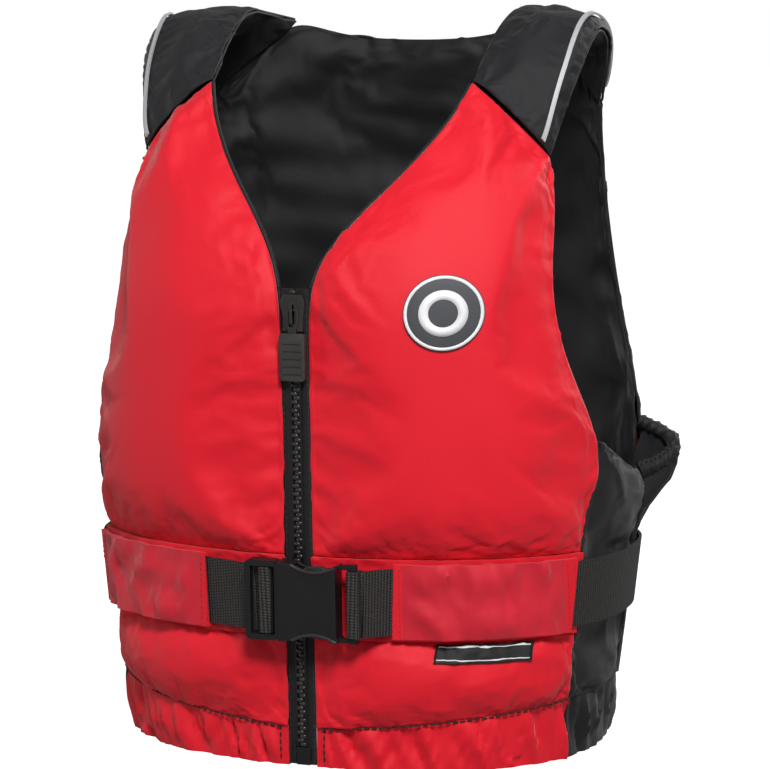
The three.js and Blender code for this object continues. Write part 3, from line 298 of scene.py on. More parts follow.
def add_piece(name, mesh_data, *materials):
    if isinstance(mesh_data, bmesh.types.BMesh):
        data = bpy.data.meshes.new(name)
        mesh_data.to_mesh(data)
        mesh_data.free()
        mesh_data = data
    piece = bpy.data.objects.new(name, mesh_data)
    scene.collection.objects.link(piece)
    for material in materials:
        mesh_data.materials.append(material)
    return piece


def settled_mesh(piece):
    """The piece's mesh with its modifiers worked in."""
    bpy.context.view_layer.update()
    graph = bpy.context.evaluated_depsgraph_get()
    return bpy.data.meshes.new_from_object(piece.evaluated_get(graph))


def work_in(piece):
    made = settled_mesh(piece)
    piece.modifiers.clear()
    old, piece.data = piece.data, made
    bpy.data.meshes.remove(old)


def smooth_shading(piece):
    for face in piece.data.polygons:
        face.use_smooth = True


def refine(piece, levels):
    fine = piece.modifiers.new("fine", "SUBSURF")
    fine.levels = fine.render_levels = levels
    fine.boundary_smooth = "PRESERVE_CORNERS"
    work_in(piece)


def edge_points(data):
    """Indices of the points on a mesh's open edges."""
    uses = {}
    for face in data.polygons:
        for key in face.edge_keys:
            uses[key] = uses.get(key, 0) + 1
    return {i for key, count in uses.items() if count == 1 for i in key}


def inflate(piece, held, pressure, spare, most, frames=18):
    """Lets the cloth of a cover settle over its filling, held fast at the given points."""
    rest = [v.co.copy() for v in piece.data.vertices]
    sewn = piece.vertex_groups.new(name="sewn")
    sewn.add(sorted(held), 1.0, "REPLACE")
    cloth = piece.modifiers.new("cloth", "CLOTH")
    cloth.settings.quality = 4
    cloth.settings.mass = 0.2
    cloth.settings.tension_stiffness = 25
    cloth.settings.compression_stiffness = 25
    cloth.settings.shear_stiffness = 12
    cloth.settings.bending_stiffness = 0.15
    cloth.settings.air_damping = 2
    cloth.settings.vertex_group_mass = "sewn"
    cloth.settings.use_pressure = True
    cloth.settings.uniform_pressure_force = pressure
    cloth.settings.shrink_min = -spare
    cloth.settings.effector_weights.gravity = 0
    cloth.collision_settings.use_collision = False
    cloth.point_cache.frame_start = 1
    cloth.point_cache.frame_end = frames
    for number in range(1, frames + 1):
        scene.frame_set(number)
    moved = [v.co.copy() for v in settled_mesh(piece).vertices]
    piece.modifiers.clear()
    piece.vertex_groups.clear()
    scene.frame_set(1)
    for vert, old, new in zip(piece.data.vertices, rest, moved):
        step = new - old
        if not step.length < 1:
            step = Vector()
        reach = most * math.tanh(step.length / most)
        vert.co = old + step.normalized() * reach


def seam_finder(points):
    """Finds the point of a seam that lies nearest to a place."""
    seam = KDTree(len(points))
    for i, point in enumerate(points):
        seam.insert(point, i)
    seam.balance()
    return seam


def pucker(piece, sewn, depth, reach, pitch):
    """Presses short creases into the cloth at right angles to its seams, fading away from them."""
    seam = seam_finder([piece.data.vertices[i].co.copy() for i in sewn])
    normals = [v.normal.copy() for v in piece.data.vertices]
    for vert, normal in zip(piece.data.vertices, normals):
        near, _, gap = seam.find(vert.co)
        if 0 < gap < reach * 3:
            fade = math.exp(-gap / reach) * min(1, gap / 0.002)
            crease = noise.noise(near / pitch) + 0.5 * noise.noise(near / (pitch * 0.45))
            vert.co += normal * (crease * depth * fade)


def roll(piece, amount, size, slant=(1, 1, 1)):
    """Adds the long soft undulations that cloth keeps over foam."""
    held = edge_points(piece.data)
    normals = [v.normal.copy() for v in piece.data.vertices]
    for vert, normal in zip(piece.data.vertices, normals):
        if vert.index not in held:
            where = Vector((vert.co.x * slant[0], vert.co.y * slant[1], vert.co.z * slant[2])) / size
            vert.co += normal * (noise.noise(where) * amount)


def give_thickness(piece, thickness):
    wall = piece.modifiers.new("wall", "SOLIDIFY")
    wall.thickness = thickness
    wall.offset = -1
    smooth_shading(piece)


def place_piece(piece, slot, *replaced, body="jacket", fill=None):
    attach(piece, body)
    if replaced:
        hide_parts(*replaced)
    return piece


surfaces = {}


def remember(piece):
    """Keeps the finished outer face of a cover, for the trim that is sewn to it."""
    made = bmesh.new()
    made.from_mesh(piece.data)
    surfaces[piece.name] = BVHTree.FromBMesh(made)
    made.free()


for side in SIDES:
    for part, spare, most in (("chest", 0.02, 0.006), ("waist", 0.025, 0.004)):
        cover = add_piece(f"{part}_cover_{side}", open_face(f"{part}_shell_{side}", outward_of_body),
                          red_nylon)
        refine(cover, 3)
        seams = edge_points(cover.data)
        inflate(cover, seams, 5.0, spare, most)
        pucker(cover, seams, 0.0018, 0.012, 0.013)
        roll(cover, 0.0022, 0.06, (1.6, 1.6, 0.8))
        remember(cover)
        give_thickness(cover, COVER_CLOTH)
        place_piece(cover, "red_fabric", f"{part}_shell_{side}", f"{part}_foam_{side}", fill=0.7)

# ---- Side panels, back and their linings -------------------------------------------------------
# The sides and the inside of the back are black. The belt presses a groove into them, and the
# lining inside the back lies in long loose folds.
for side in SIDES:
    cover = add_piece(f"side_cover_{side}", open_face(f"side_shell_{side}", outward_of_body), black_nylon)
    refine(cover, 3)
    seams = edge_points(cover.data)
    inflate(cover, seams, 3.0, 0.03, 0.004)
    pucker(cover, seams, 0.0014, 0.012, 0.014)
    roll(cover, 0.003, 0.03, (1, 1, 1.5))
    remember(cover)
    give_thickness(cover, COVER_CLOTH)
    place_piece(cover, "black_fabric", f"side_shell_{side}", f"side_foam_{side}", fill=0.6)
    inner = add_piece(f"side_lining_cloth_{side}", open_face(f"side_lining_{side}", inward_of_body),
                      lining_nylon)
    refine(inner, 2)
    inflate(inner, edge_points(inner.data), 2.0, 0.02, 0.003)
    give_thickness(inner, LINING_CLOTH)
    place_piece(inner, "lining_fabric", f"side_lining_{side}", fill=0.5)


def margin_finish(name, inner, edging, width):
    """One finish with another along the seams, told apart by the stored distance to a seam."""
    material = inner.copy()
    material.name = name
    tree = material.node_tree
    shader = tree.nodes["Principled BSDF"]
    woven = next(n for n in tree.nodes if n.type == "GROUP")
    gap = tree.nodes.new("ShaderNodeAttribute")
    gap.attribute_name = "seam_gap"
    inside = calc(tree, "GREATER_THAN", gap.outputs["Fac"], width)
    mix = tree.nodes.new("ShaderNodeMix")
    mix.data_type = "RGBA"
    tree.links.new(inside, mix.inputs["Factor"])
    mix.inputs["A"].default_value = (*edging, 1)
    tree.links.new(woven.outputs["Colour"], mix.inputs["B"])
    tree.links.new(mix.outputs["Result"], shader.inputs["Base Color"])
    return material


def store_seam_gap(piece, points):
    """Keeps each point's distance to a seam, for the finish to read."""
    seam = seam_finder(points)
    gaps = piece.data.attributes.new("seam_gap", "FLOAT", "POINT")
    for vert in piece.data.vertices:
        gaps.data[vert.index].value = seam.find(vert.co)[2]


BACK_MARGIN = 0.015
back_red = margin_finish("back_nylon", red_nylon, BLACK_DYE, BACK_MARGIN)
back_cover = add_piece("back_cover", open_face("back_shell", outward_of_body), back_red)
refine(back_cover, 3)
back_seams = edge_points(back_cover.data)
store_seam_gap(back_cover, [back_cover.data.vertices[i].co for i in back_seams
                            if abs(back_cover.data.vertices[i].co.x) > 0.1
                            or back_cover.data.vertices[i].co.z > 0.4])
inflate(back_cover, back_seams, 4.0, 0.02, 0.005)
pucker(back_cover, back_seams, 0.0012, 0.012, 0.014)
roll(back_cover, 0.003, 0.07)
remember(back_cover)
give_thickness(back_cover, COVER_CLOTH)
place_piece(back_cover, "red_fabric", "back_shell", "back_foam", fill=0.7)

back_inner = add_piece("back_lining_cloth", open_face("back_lining", inward_of_body), lining_nylon)
refine(back_inner, 3)
inner_seams = edge_points(back_inner.data)
inflate(back_inner, inner_seams, 3.0, 0.03, 0.005)
pucker(back_inner, inner_seams, 0.0012, 0.014, 0.014)
roll(back_inner, 0.004, 0.05, (1, 1, 2.2))
give_thickness(back_inner, LINING_CLOTH)
place_piece(back_inner, "lining_fabric", "back_lining", fill=0.6)

# ---- Front linings, belt band and hem ----------------------------------------------------------
# Single layers of cloth, cut flat and sewn in, so they only ripple between seams. The hem is
# gathered, and it is loose along its lower edge.


def fine_copy(name, node, cuts, *materials):
    """A copy of a CAD solid with its edges divided, ready to be pushed into folds."""
    solid = bmesh.new()
    solid.from_mesh(nodes[node].data)
    bmesh.ops.remove_doubles(solid, verts=solid.verts, dist=WELD)
    bmesh.ops.subdivide_edges(solid, edges=solid.edges, cuts=cuts, use_grid_fill=True)
    return add_piece(name, solid, *materials)


def ripple(piece, push):
    """Moves each point away from the body's middle line by push(point)."""
    for vert in piece.data.vertices:
        out = Vector((vert.co.x, vert.co.y, 0)).normalized()
        vert.co += out * push(vert.co)
    smooth_shading(piece)


def mark_sharp(piece, degrees):
    """Keeps folds sharp where the cloth turns over an edge."""
    shape = bmesh.new()
    shape.from_mesh(piece.data)
    for edge in shape.edges:
        if len(edge.link_faces) == 2 and edge.calc_face_angle(0) > math.radians(degrees):
            edge.smooth = False
    shape.to_mesh(piece.data)
    shape.free()


BELT_LEVEL = 0.1045
BELT_CLEAR = 0.0208
TUNNEL_MOUTH = 0.055


def band_folds(point):
    """Slanting folds where the band shows beside the zip, above and below the belt."""
    free = min(1, max(0, (abs(point.z - BELT_LEVEL) - BELT_CLEAR) / 0.002))
    open_front = min(1, max(0, (TUNNEL_MOUTH - abs(point.x)) / 0.004))
    fold = noise.noise(Vector((point.x + point.z, point.y, (point.z - point.x) * 0.4)) / 0.009)
    return free * open_front * 0.0042 * abs(fold)


for side in SIDES:
    inner = fine_copy(f"front_lining_cloth_{side}", f"front_lining_{side}", 1, lining_nylon)
    ripple(inner, lambda p: 0.0006 * noise.noise(p / 0.03))
    place_piece(inner, "lining_fabric", f"front_lining_{side}")

    band = fine_copy(f"belt_band_cloth_{side}", f"belt_band_{side}", 5, red_nylon)
    ripple(band, band_folds)
    mark_sharp(band, 50)
    place_piece(band, "red_fabric", f"belt_band_{side}")


HEM_TUCK = 1.06
HEM_LAP = 0.007


def hem_gathers(node):
    """Slanting folds below the hem seam: flat at the stitches and beside the zip."""
    tops = {}
    for vert in nodes[node].data.vertices:
        turn = round(math.atan2(vert.co.x, -vert.co.y) * 12)
        tops[turn] = max(tops.get(turn, 0), vert.co.z)

    def push(point):
        angle = math.atan2(point.x, -point.y)
        turn = min(tops, key=lambda t: abs(t - angle * 12))
        share = min(1, max(0, point.z / tops[turn]))
        by_zip = min(1, max(0, (abs(point.x) - 0.011) / 0.012)) if point.y < 0 else 1
        wave = noise.noise(Vector((angle * 13 + point.z * 40, point.z * 12, 0.3)))
        fine = noise.noise(Vector((angle * 31 + point.z * 60, point.z * 20, 5.1)))
        fade = (1 - share ** 4) * (0.45 + 0.55 * min(1, share * 2.5))
        return by_zip * fade * (0.008 * wave + 0.0045 * fine) - 0.0012

    return push


for name, material, slot in (("hem_skirt_front_left", red_nylon, "red_fabric"),
                             ("hem_skirt_front_right", red_nylon, "red_fabric"),
                             ("hem_skirt_back", black_nylon, "black_fabric")):
    hem = fine_copy(name + "_cloth", name, 5, material)
    ripple(hem, hem_gathers(name))
    for vert in hem.data.vertices:
        vert.co.z *= HEM_TUCK
        if "front" in name:
            lap = math.atan2(vert.co.x, -vert.co.y) * HEM_LAP
            vert.co.x, vert.co.y = (vert.co.x * math.cos(lap) - vert.co.y * math.sin(lap),
                                    vert.co.y * math.cos(lap) + vert.co.x * math.sin(lap))
    mark_sharp(hem, 60)
    place_piece(hem, slot, name)

# ---- Gathered gussets --------------------------------------------------------------------------
# Black cloth under each arm, sewn in on elastic. The elastic gathers it, so it stands in a
# soft roll with many folds.
ROLL_RADIUS = 0.0042


def tube_along(name, points, radius, material):
    line = bpy.data.curves.new(name, "CURVE")
    line.dimensions = "3D"
    line.bevel_depth = radius
    line.bevel_resolution = 3
    line.use_fill_caps = True
    spline = line.splines.new("NURBS")
    spline.points.add(len(points) - 1)
    spline.order_u = 4
    spline.use_endpoint_u = True
    for knot, point in zip(spline.points, points):
        knot.co = (*point, 1)
    holder = bpy.data.objects.new(name + "_line", line)
    scene.collection.objects.link(holder)
    made = settled_mesh(holder)
    bpy.data.objects.remove(holder)
    piece = add_piece(name, made, material)
    smooth_shading(piece)
    return piece


def ruffle(point):
    angle = math.atan2(abs(point.x), -point.y)
    high = min(1, max(0, (point.z - 0.12) / 0.06))
    wave = math.sin(angle * 95 + 2.5 * noise.noise(point / 0.03))
    return (0.0008 + 0.0016 * high) * wave + 0.003 * high * noise.noise(point / 0.022)


for side, sign in SIDES.items():
    gusset = fine_copy(f"gusset_cloth_{side}", f"side_gusset_{side}", 7, black_nylon)
    ripple(gusset, ruffle)
    mark_sharp(gusset, 60)
    place_piece(gusset, "black_fabric", f"side_gusset_{side}")
    rim = [v.co.copy() for v in nodes[f"side_gusset_{side}"].data.vertices]
    peak = max(p.z for p in rim)
    hub = Vector((sign * 0.165, 0.05, 0))
    upper = [p for p in rim if p.z > peak - 0.035
             and not any(q.z > p.z + 0.001 and (q.xy - p.xy).length < 0.0045 for q in rim)]
    upper = list({tuple(round(c, 5) for c in p): p for p in upper}.values())
    upper.sort(key=lambda p: math.atan2(p.y - hub.y, (p.x - hub.x) * sign))
    stations = [(first + second) / 2 - Vector((0, 0, 0.0025)) for first, second in zip(upper, upper[1:])]
    roll_edge = tube_along(f"gusset_roll_{side}", stations, ROLL_RADIUS, black_nylon)
    for vert in roll_edge.data.vertices:
        middle = min(stations, key=lambda p: (p - vert.co).length)
        gather = 0.0007 * math.sin((vert.co.x * sign + vert.co.y) * 1500)
        gather += 0.001 * noise.noise(vert.co / 0.006)
        vert.co += (vert.co - middle).normalized() * gather
    place_piece(roll_edge, "black_fabric")

# ---- Shoulder straps ---------------------------------------------------------------------------
# Padded straps in black nylon with a foam core. A line of grey piping is caught in a seam that
# runs along each strap, nearer to its outer edge, and pulls the padding down.
grey_tape = cloth_finish("reflective_tape", (0.4, 0.41, 0.42), (0.0007, 0.0007), 0.00005, mottle=0.1)
grey_tape.node_tree.nodes["Principled BSDF"].inputs["Metallic"].default_value = 0.3

for side, sign in SIDES.items():
    under = Vector((sign * 0.115, 0.02, 0.36))
    piping = bmesh.new()
    piping.from_mesh(nodes[f"reflective_piping_{side}"].data)
    bmesh.ops.remove_doubles(piping, verts=piping.verts, dist=WELD)
    line = [v.co.copy() for v in piping.verts]
    piping.free()
    cover = add_piece(f"strap_cover_{side}", open_face(f"strap_shell_{side}", lambda p: (p - under).length),
                      black_nylon)
    refine(cover, 3)
    seams = edge_points(cover.data)
    along = {v.index for v in cover.data.vertices if min((v.co - p).length for p in line) < 0.0035}
    inflate(cover, seams | along, 4.0, 0.02, 0.004)
    pucker(cover, seams, 0.001, 0.008, 0.008)
    roll(cover, 0.0012, 0.03)
    remember(cover)
    give_thickness(cover, LINING_CLOTH)
    place_piece(cover, "black_fabric", f"strap_shell_{side}", f"strap_foam_{side}", fill=0.7)
    inner = add_piece(f"strap_lining_cloth_{side}",
                      open_face(f"strap_lining_{side}", lambda p: -(p - under).length), lining_nylon)
    refine(inner, 2)
    inflate(inner, edge_points(inner.data), 3.0, 0.02, 0.003)
    give_thickness(inner, LINING_CLOTH)
    place_piece(inner, "lining_fabric", f"strap_lining_{side}", fill=0.6)


def soft_copy(name, node, levels, material, crease_over=35):
    """A copy of a CAD solid in quads, rounded along its length but crisp at its edges."""
    solid = bmesh.new()
    solid.from_mesh(nodes[node].data)
    bmesh.ops.remove_doubles(solid, verts=solid.verts, dist=WELD)
    bmesh.ops.join_triangles(solid, faces=solid.faces, angle_face_threshold=math.radians(20),
                             angle_shape_threshold=math.pi)
    crease = solid.edges.layers.float.new("crease_edge")
    for edge in solid.edges:
        if edge.calc_face_angle(0) > math.radians(crease_over):
            edge[crease] = 1.0
            edge.smooth = False
    piece = add_piece(name, solid, material)
    fine = piece.modifiers.new("fine", "SUBSURF")
    fine.levels = fine.render_levels = levels
    smooth_shading(piece)
    return piece


for side in SIDES:
    tape = soft_copy(f"piping_{side}", f"reflective_piping_{side}", 2, grey_tape)
    place_piece(tape, "reflective_tape", f"reflective_piping_{side}")

# ---- Edge bindings -----------------------------------------------------------------------------
# Narrow black tape folded over the raw edge of the neck opening, and the same tape laid in the
# seams between the side panels and their neighbours.
binding_cloth = cloth_finish("binding_tape", (0.006, 0.006, 0.007), (0.0009, 0.0009), 0.0001, mottle=0.3)


def edge_run(piece, keep):
    """The points of a cover's open edge that keep() picks, from the lowest up."""
    edge = edge_points(piece.data)
    found = [piece.data.vertices[i].co.copy() for i in edge if keep(piece.data.vertices[i].co)]
    return sorted(found, key=lambda p: p.z)


zip_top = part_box("zip_tape_left")[1].z
for side, sign in SIDES.items():
    chest = bpy.data.objects[f"chest_cover_{side}"]
    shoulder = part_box(f"chest_shell_{side}")[1].z
    neck = edge_run(chest, lambda p: p.z > zip_top - 0.004 and abs(p.x) < 0.0845 and p.z < shoulder - 0.0005)
    neck = [p for p in neck if abs(p.x) < 0.012 + (p.z - zip_top) * 0.9]
    inward = Vector((-sign * 0.0006, 0.0012, 0))
    binding = tube_along(f"neck_binding_tape_{side}", [p + inward for p in neck], 0.0013, binding_cloth)
    place_piece(binding, "black_fabric", f"neck_binding_{side}")

BESIDE = 0.0045
SEAM_RADIUS = 0.0016
for side, sign in SIDES.items():
    panel_edge = edge_run(bpy.data.objects[f"side_cover_{side}"], lambda p: True)
    front_covers = [f"chest_cover_{side}", f"waist_cover_{side}"]
    for seam_name, covers in (("back", ["back_cover"]), ("front", front_covers)):
        beside = [p for cover in covers for p in edge_run(bpy.data.objects[cover], lambda p: p.x * sign > 0)]
        middles = []
        for p in panel_edge:
            q = min(beside, key=lambda other: (other - p).length_squared)
            if (q - p).length < BESIDE and abs(q.z - p.z) < 0.0015:
                middles.append((p + q) / 2)
        runs = []
        for p in sorted(middles, key=lambda m: m.z):
            if not runs or p.z - runs[-1][-1].z > 0.02:
                runs.append([p])
            elif p.z - runs[-1][-1].z > 0.003:
                runs[-1].append(p)
        for number, run in enumerate(runs):
            if len(run) > 3:
                inside = [p - Vector((p.x, p.y, 0)).normalized() * 0.0012 for p in run]
                seam_tape = tube_along(f"side_seam_{seam_name}_{number}_{side}", inside, SEAM_RADIUS,
                                       binding_cloth)
                place_piece(seam_tape, "black_fabric")

# ---- Belt tunnels ------------------------------------------------------------------------------
# Sleeves of duller red cloth that hold the belt on the band. They are turned in at both ends and
# sewn down with two rows of stitches, and the cloth between lies in slanting wrinkles.
tunnel_nylon = cloth_finish("tunnel_nylon", (0.52, 0.01, 0.025), (0.0011, 0.0011), 0.00012,
                            mottle=0.3, sheen=0.2)
HEM_STRIP = 0.0068

for side, sign in SIDES.items():
    node = f"belt_tunnel_{side}"
    low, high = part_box(node)
    mouth, far = sorted((low.x, high.x), key=abs)
    tunnel = fine_copy(f"tunnel_cloth_{side}", node, 7, tunnel_nylon, red_nylon)
    shape = bmesh.new()
    shape.from_mesh(tunnel.data)
    for x in (mouth + sign * HEM_STRIP, far - sign * HEM_STRIP * 0.8):
        bmesh.ops.bisect_plane(shape, geom=shape.verts[:] + shape.edges[:] + shape.faces[:],
                               plane_co=(x, 0, 0), plane_no=(1, 0, 0))
    shape.to_mesh(tunnel.data)
    shape.free()

    def end_distance(point):
        return min(abs(abs(point.x) - abs(mouth)), abs(abs(point.x) - abs(far)) * 1.25)

    def wrinkle(point):
        from_end = end_distance(point)
        middle = min(1, max(0, (from_end - HEM_STRIP) / 0.012))
        slant = Vector((point.x * 1.0 + point.z * 0.8, point.y, point.z - point.x * 0.5))
        strip = 0.0005 if from_end < HEM_STRIP else 0
        lift = 0.005 * noise.noise(slant / 0.018) + 0.0022 * noise.noise(slant / 0.008)
        return strip + middle * max(0.0016 + lift, -0.0004)

    ripple(tunnel, wrinkle)
    for face in tunnel.data.polygons:
        face.material_index = 1 if end_distance(face.center) < HEM_STRIP else 0
    mark_sharp(tunnel, 50)
    remember(tunnel)
    place_piece(tunnel, "tunnel_fabric", node)

back_tunnel = fine_copy("tunnel_cloth_back", "belt_tunnel_back", 4, tunnel_nylon)
ripple(back_tunnel, lambda p: 0.001 * noise.noise(p / 0.018))
mark_sharp(back_tunnel, 50)
place_piece(back_tunnel, "tunnel_fabric", "belt_tunnel_back")

# ---- Belt webbing ------------------------------------------------------------------------------
# Heavy black polyester webbing, 40 mm wide, with ribs along its length and thick weft threads
# across. It runs through the tunnels and folds round the bars of the buckle.
RIBBED_WEAVE = weave_group("ribbed_weave", True)
# The strong weave shade paints the grooves between the ribs near black and their crests grey: painted shade
# and painted highlight.
webbing_weave = cloth_finish("webbing", (0.02, 0.019, 0.018), (0.0054, 0.0017), 0.0016, mottle=0.2, fuzz=0.15,
                             sheen=0.0, weave=RIBBED_WEAVE, slubs_and_weave_shade=1.7)

belt = soft_copy("belt_back", "belt_webbing_back", 2, webbing_weave)
place_piece(belt, "webbing", "belt_webbing_back")
for side, joint, direction in (("left", "socket_slide", 1), ("right", "plug_slide", -1)):
    node = f"belt_webbing_{side}_front"
    low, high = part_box(node)
    strip = soft_copy(f"belt_front_{side}", node, 2, webbing_weave)
    work_in(strip)
    place_piece(strip, "webbing", node)
    tunnel_low, tunnel_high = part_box(f"belt_tunnel_{side}")
    mouth = min(abs(tunnel_low.x), abs(tunnel_high.x))
    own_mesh(strip)
for end in ("plug", "socket"):
    fold = soft_copy(f"belt_fold_{end}", f"webbing_loop_{end}", 2, webbing_weave)
    place_piece(fold, "webbing", f"webbing_loop_{end}", body=end)

# ---- Buckle ------------------------------------------------------------------------------------
# A side-release buckle moulded in black acetal with a fine spark texture and rounded edges.
# The release arms are part of the plug moulding on the real one.


def grain_group():
    """Colour, roughness and height of moulded plastic: a fine grain over a broad unevenness."""
    group, inputs, outputs = new_group(
        "moulded_grain", (("Colour", "Color"), ("Roughness", "Float")),
        (("Colour", "Color"), ("Roughness", "Float"), ("Height", "Float")))
    broad = cloud(group, 60, 5)
    rough = calc(group, "ADD", calc(group, "MULTIPLY", broad, 0.21), inputs.outputs["Roughness"])
    group.links.new(calc(group, "SUBTRACT", rough, 0.09), outputs.inputs["Roughness"])
    tint = group.nodes.new("ShaderNodeHueSaturation")
    group.links.new(inputs.outputs["Colour"], tint.inputs["Color"])
    group.links.new(calc(group, "ADD", calc(group, "MULTIPLY", broad, 0.7), 1.0), tint.inputs["Value"])
    group.links.new(tint.outputs[0], outputs.inputs["Colour"])
    group.links.new(cloud(group, 2600, 2), outputs.inputs["Height"])
    return group


MOULDED_GRAIN = grain_group()


def plastic_finish(name, colour, roughness, grain):
    """A moulded finish: grain is the height of its texture in metres."""
    material = bpy.data.materials.new(name)
    material.use_nodes = True
    tree = material.node_tree
    shader = tree.nodes["Principled BSDF"]
    shader.inputs["Specular IOR Level"].default_value = 0.35
    skin = tree.nodes.new("ShaderNodeGroup")
    skin.node_tree = MOULDED_GRAIN
    skin.inputs["Colour"].default_value = (*colour, 1)
    skin.inputs["Roughness"].default_value = roughness
    bump = tree.nodes.new("ShaderNodeBump")
    bump.inputs["Distance"].default_value = grain
    tree.links.new(skin.outputs["Colour"], shader.inputs["Base Color"])
    tree.links.new(skin.outputs["Roughness"], shader.inputs["Roughness"])
    tree.links.new(skin.outputs["Height"], bump.inputs["Height"])
    tree.links.new(bump.outputs[0], shader.inputs["Normal"])
    return material


acetal = plastic_finish("black_acetal", (0.005, 0.005, 0.0055), 0.36, 0.00004)
zip_plastic = plastic_finish("zip_plastic", (0.004, 0.004, 0.0045), 0.36, 0.00003)


def moulded(name, node, round_edge, material, body, slot="black_plastic", segments=2):
    """A copy of a CAD part with its flat faces whole again and its edges rounded."""
    solid = bmesh.new()
    solid.from_mesh(nodes[node].data)
    bmesh.ops.remove_doubles(solid, verts=solid.verts, dist=WELD)
    bmesh.ops.dissolve_limit(solid, angle_limit=math.radians(2), verts=solid.verts, edges=solid.edges)
    for face in solid.faces:
        face.smooth = True
    piece = add_piece(name, solid, material)
    bevel = piece.modifiers.new("rounding", "BEVEL")
    bevel.width = round_edge
    bevel.segments = segments
    bevel.limit_method = "ANGLE"
    bevel.angle_limit = math.radians(28)
    bevel.use_clamp_overlap = True
    bevel.harden_normals = True
    place_piece(piece, slot, node, body=body)
    return piece


moulded("buckle_socket_body", "buckle_socket", 0.0014, acetal, "socket", segments=3)
# The buckle's black acetal in a lighter colour: a painted highlight on the window rims and the release arms.
acetal_painted_highlight = plastic_finish("acetal_painted_highlight", (0.02, 0.02, 0.021), 0.2, 0.00001)
rim_points = [v.co.copy() for v in nodes["buckle_socket"].data.vertices]
WINDOW_MIDDLE = 0.016
WINDOW_REACH = 0.0139
WINDOW_EDGE = 0.013
FRONT_DEPTH = 0.0005
buckle_low, buckle_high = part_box("buckle_socket")
buckle_middle = (buckle_low.z + buckle_high.z) / 2
LEAN = 0.0451
socket_front = min(p.y + (p.z - buckle_middle) * LEAN for p in rim_points)
for name, sign in (("upper", 1), ("lower", -1)):
    flank = {}
    for p in rim_points:
        front_here = p.y + (p.z - buckle_middle) * LEAN
        if abs(p.x - WINDOW_MIDDLE) < WINDOW_REACH and (p.z - buckle_middle) * sign > WINDOW_EDGE:
            if front_here < socket_front + FRONT_DEPTH:
                flank[round(p.x, 4)] = p
    path = [flank[x] + Vector((0, 0.0004, -sign * 0.0003)) for x in sorted(flank)]
    rim = tube_along(f"buckle_window_rim_{name}", path, 0.0011, acetal_painted_highlight)
    place_piece(rim, "black_plastic", body="socket")
moulded("buckle_plug_body", "buckle_plug", 0.0012, acetal, "plug", segments=3)
moulded("buckle_arm_upper", "release_arm_upper", 0.0009, acetal_painted_highlight, "upper_arm")
moulded("buckle_arm_lower", "release_arm_lower", 0.0009, acetal_painted_highlight, "lower_arm")

# ---- Zip ---------------------------------------------------------------------------------------
# A coarse moulded zip: woven tapes sewn to the panels, black teeth moulded on to their cords, a
# slider with a crown, a pull and a ribbed grip, and a box and pin at the foot.
tape_weave = cloth_finish("zip_tape", (0.006, 0.006, 0.0065), (0.0016, 0.001), 0.0003, mottle=0.2)

grip_rubber = plastic_finish("grip_rubber", (0.022, 0.02, 0.018), 0.5, 0.00012)
# The zip's black plastic in a lighter colour: a painted highlight on the teeth, the slider and the pull.
zip_painted_highlight = plastic_finish("zip_painted_highlight", (0.018, 0.017, 0.016), 0.22, 0.00001)
for side in SIDES:
    moulded(f"zip_tape_cloth_{side}", f"zip_tape_{side}", 0.0003, tape_weave, "jacket", slot="zip_tape")
TOOTH_PITCH = 0.005
TOOTH_HALF = (0.0022, 0.001, 0.00145)
TOOTH_IN = 0.0008
BEHIND_FRONT = 0.0009
CORD_BESIDE = 0.0029
SHADOW_STRIP_BEHIND = 0.0016
ZIP_WAIST = 0.15
ZIP_SLOPE = 0.04514


def teeth_front(z):
    """The level of the front of the teeth at a height, on the leaning zip."""
    return chain_top.y + (chain_end.z - z) * ZIP_SLOPE


for side, sign in SIDES.items():
    chain_top, chain_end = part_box(f"zip_teeth_{side}")
    chain = bmesh.new()
    height = chain_top.z + (0.001 if sign > 0 else 0.001 + TOOTH_PITCH / 2)
    while height < chain_end.z - 0.001:
        place = Vector((sign * TOOTH_IN, teeth_front(height) + BEHIND_FRONT, height))
        size = Matrix.Diagonal((*TOOTH_HALF, 1))
        bmesh.ops.create_uvsphere(chain, u_segments=12, v_segments=8, radius=1,
                                  matrix=Matrix.Translation(place) @ size)
        height += TOOTH_PITCH
    teeth = add_piece(f"zip_chain_{side}", chain, zip_painted_highlight)
    smooth_shading(teeth)
    place_piece(teeth, "black_plastic", f"zip_teeth_{side}")
    ends = [Vector((sign * CORD_BESIDE, teeth_front(z) + BEHIND_FRONT, z))
            for z in (chain_top.z, ZIP_WAIST, chain_end.z)]
    cord = tube_along(f"zip_cord_{side}", ends, 0.0007, zip_plastic)
    place_piece(cord, "black_plastic")
# A flat black strip behind the teeth: a painted shade that fills the gaps between the tooth heads, where the
# interlocked teeth lie in shade.
shadow_strip_path = [Vector((0, teeth_front(z) + SHADOW_STRIP_BEHIND, z))
           for z in (chain_top.z - 0.004, ZIP_WAIST, chain_end.z - 0.03)]
shadow_strip = tube_along("zip_chain_shadow_strip", shadow_strip_path, 0.0026, zip_plastic)
for vert in shadow_strip.data.vertices:
    level = teeth_front(vert.co.z) + SHADOW_STRIP_BEHIND
    vert.co.y = level + (vert.co.y - level) * 0.08
place_piece(shadow_strip, "black_plastic")
moulded("zip_box", "zip_retainer_box", 0.0006, zip_plastic, "jacket")
moulded("zip_pin", "zip_insertion_pin", 0.0004, zip_plastic, "jacket")
moulded("zip_slider_body", "zip_slider", 0.0009, zip_painted_highlight, "slider", segments=3)
moulded("zip_pull_link", "zip_pull_tab", 0.0005, zip_painted_highlight, "pull")
moulded("zip_grip", "zip_pull_grip", 0.0007, grip_rubber, "pull")

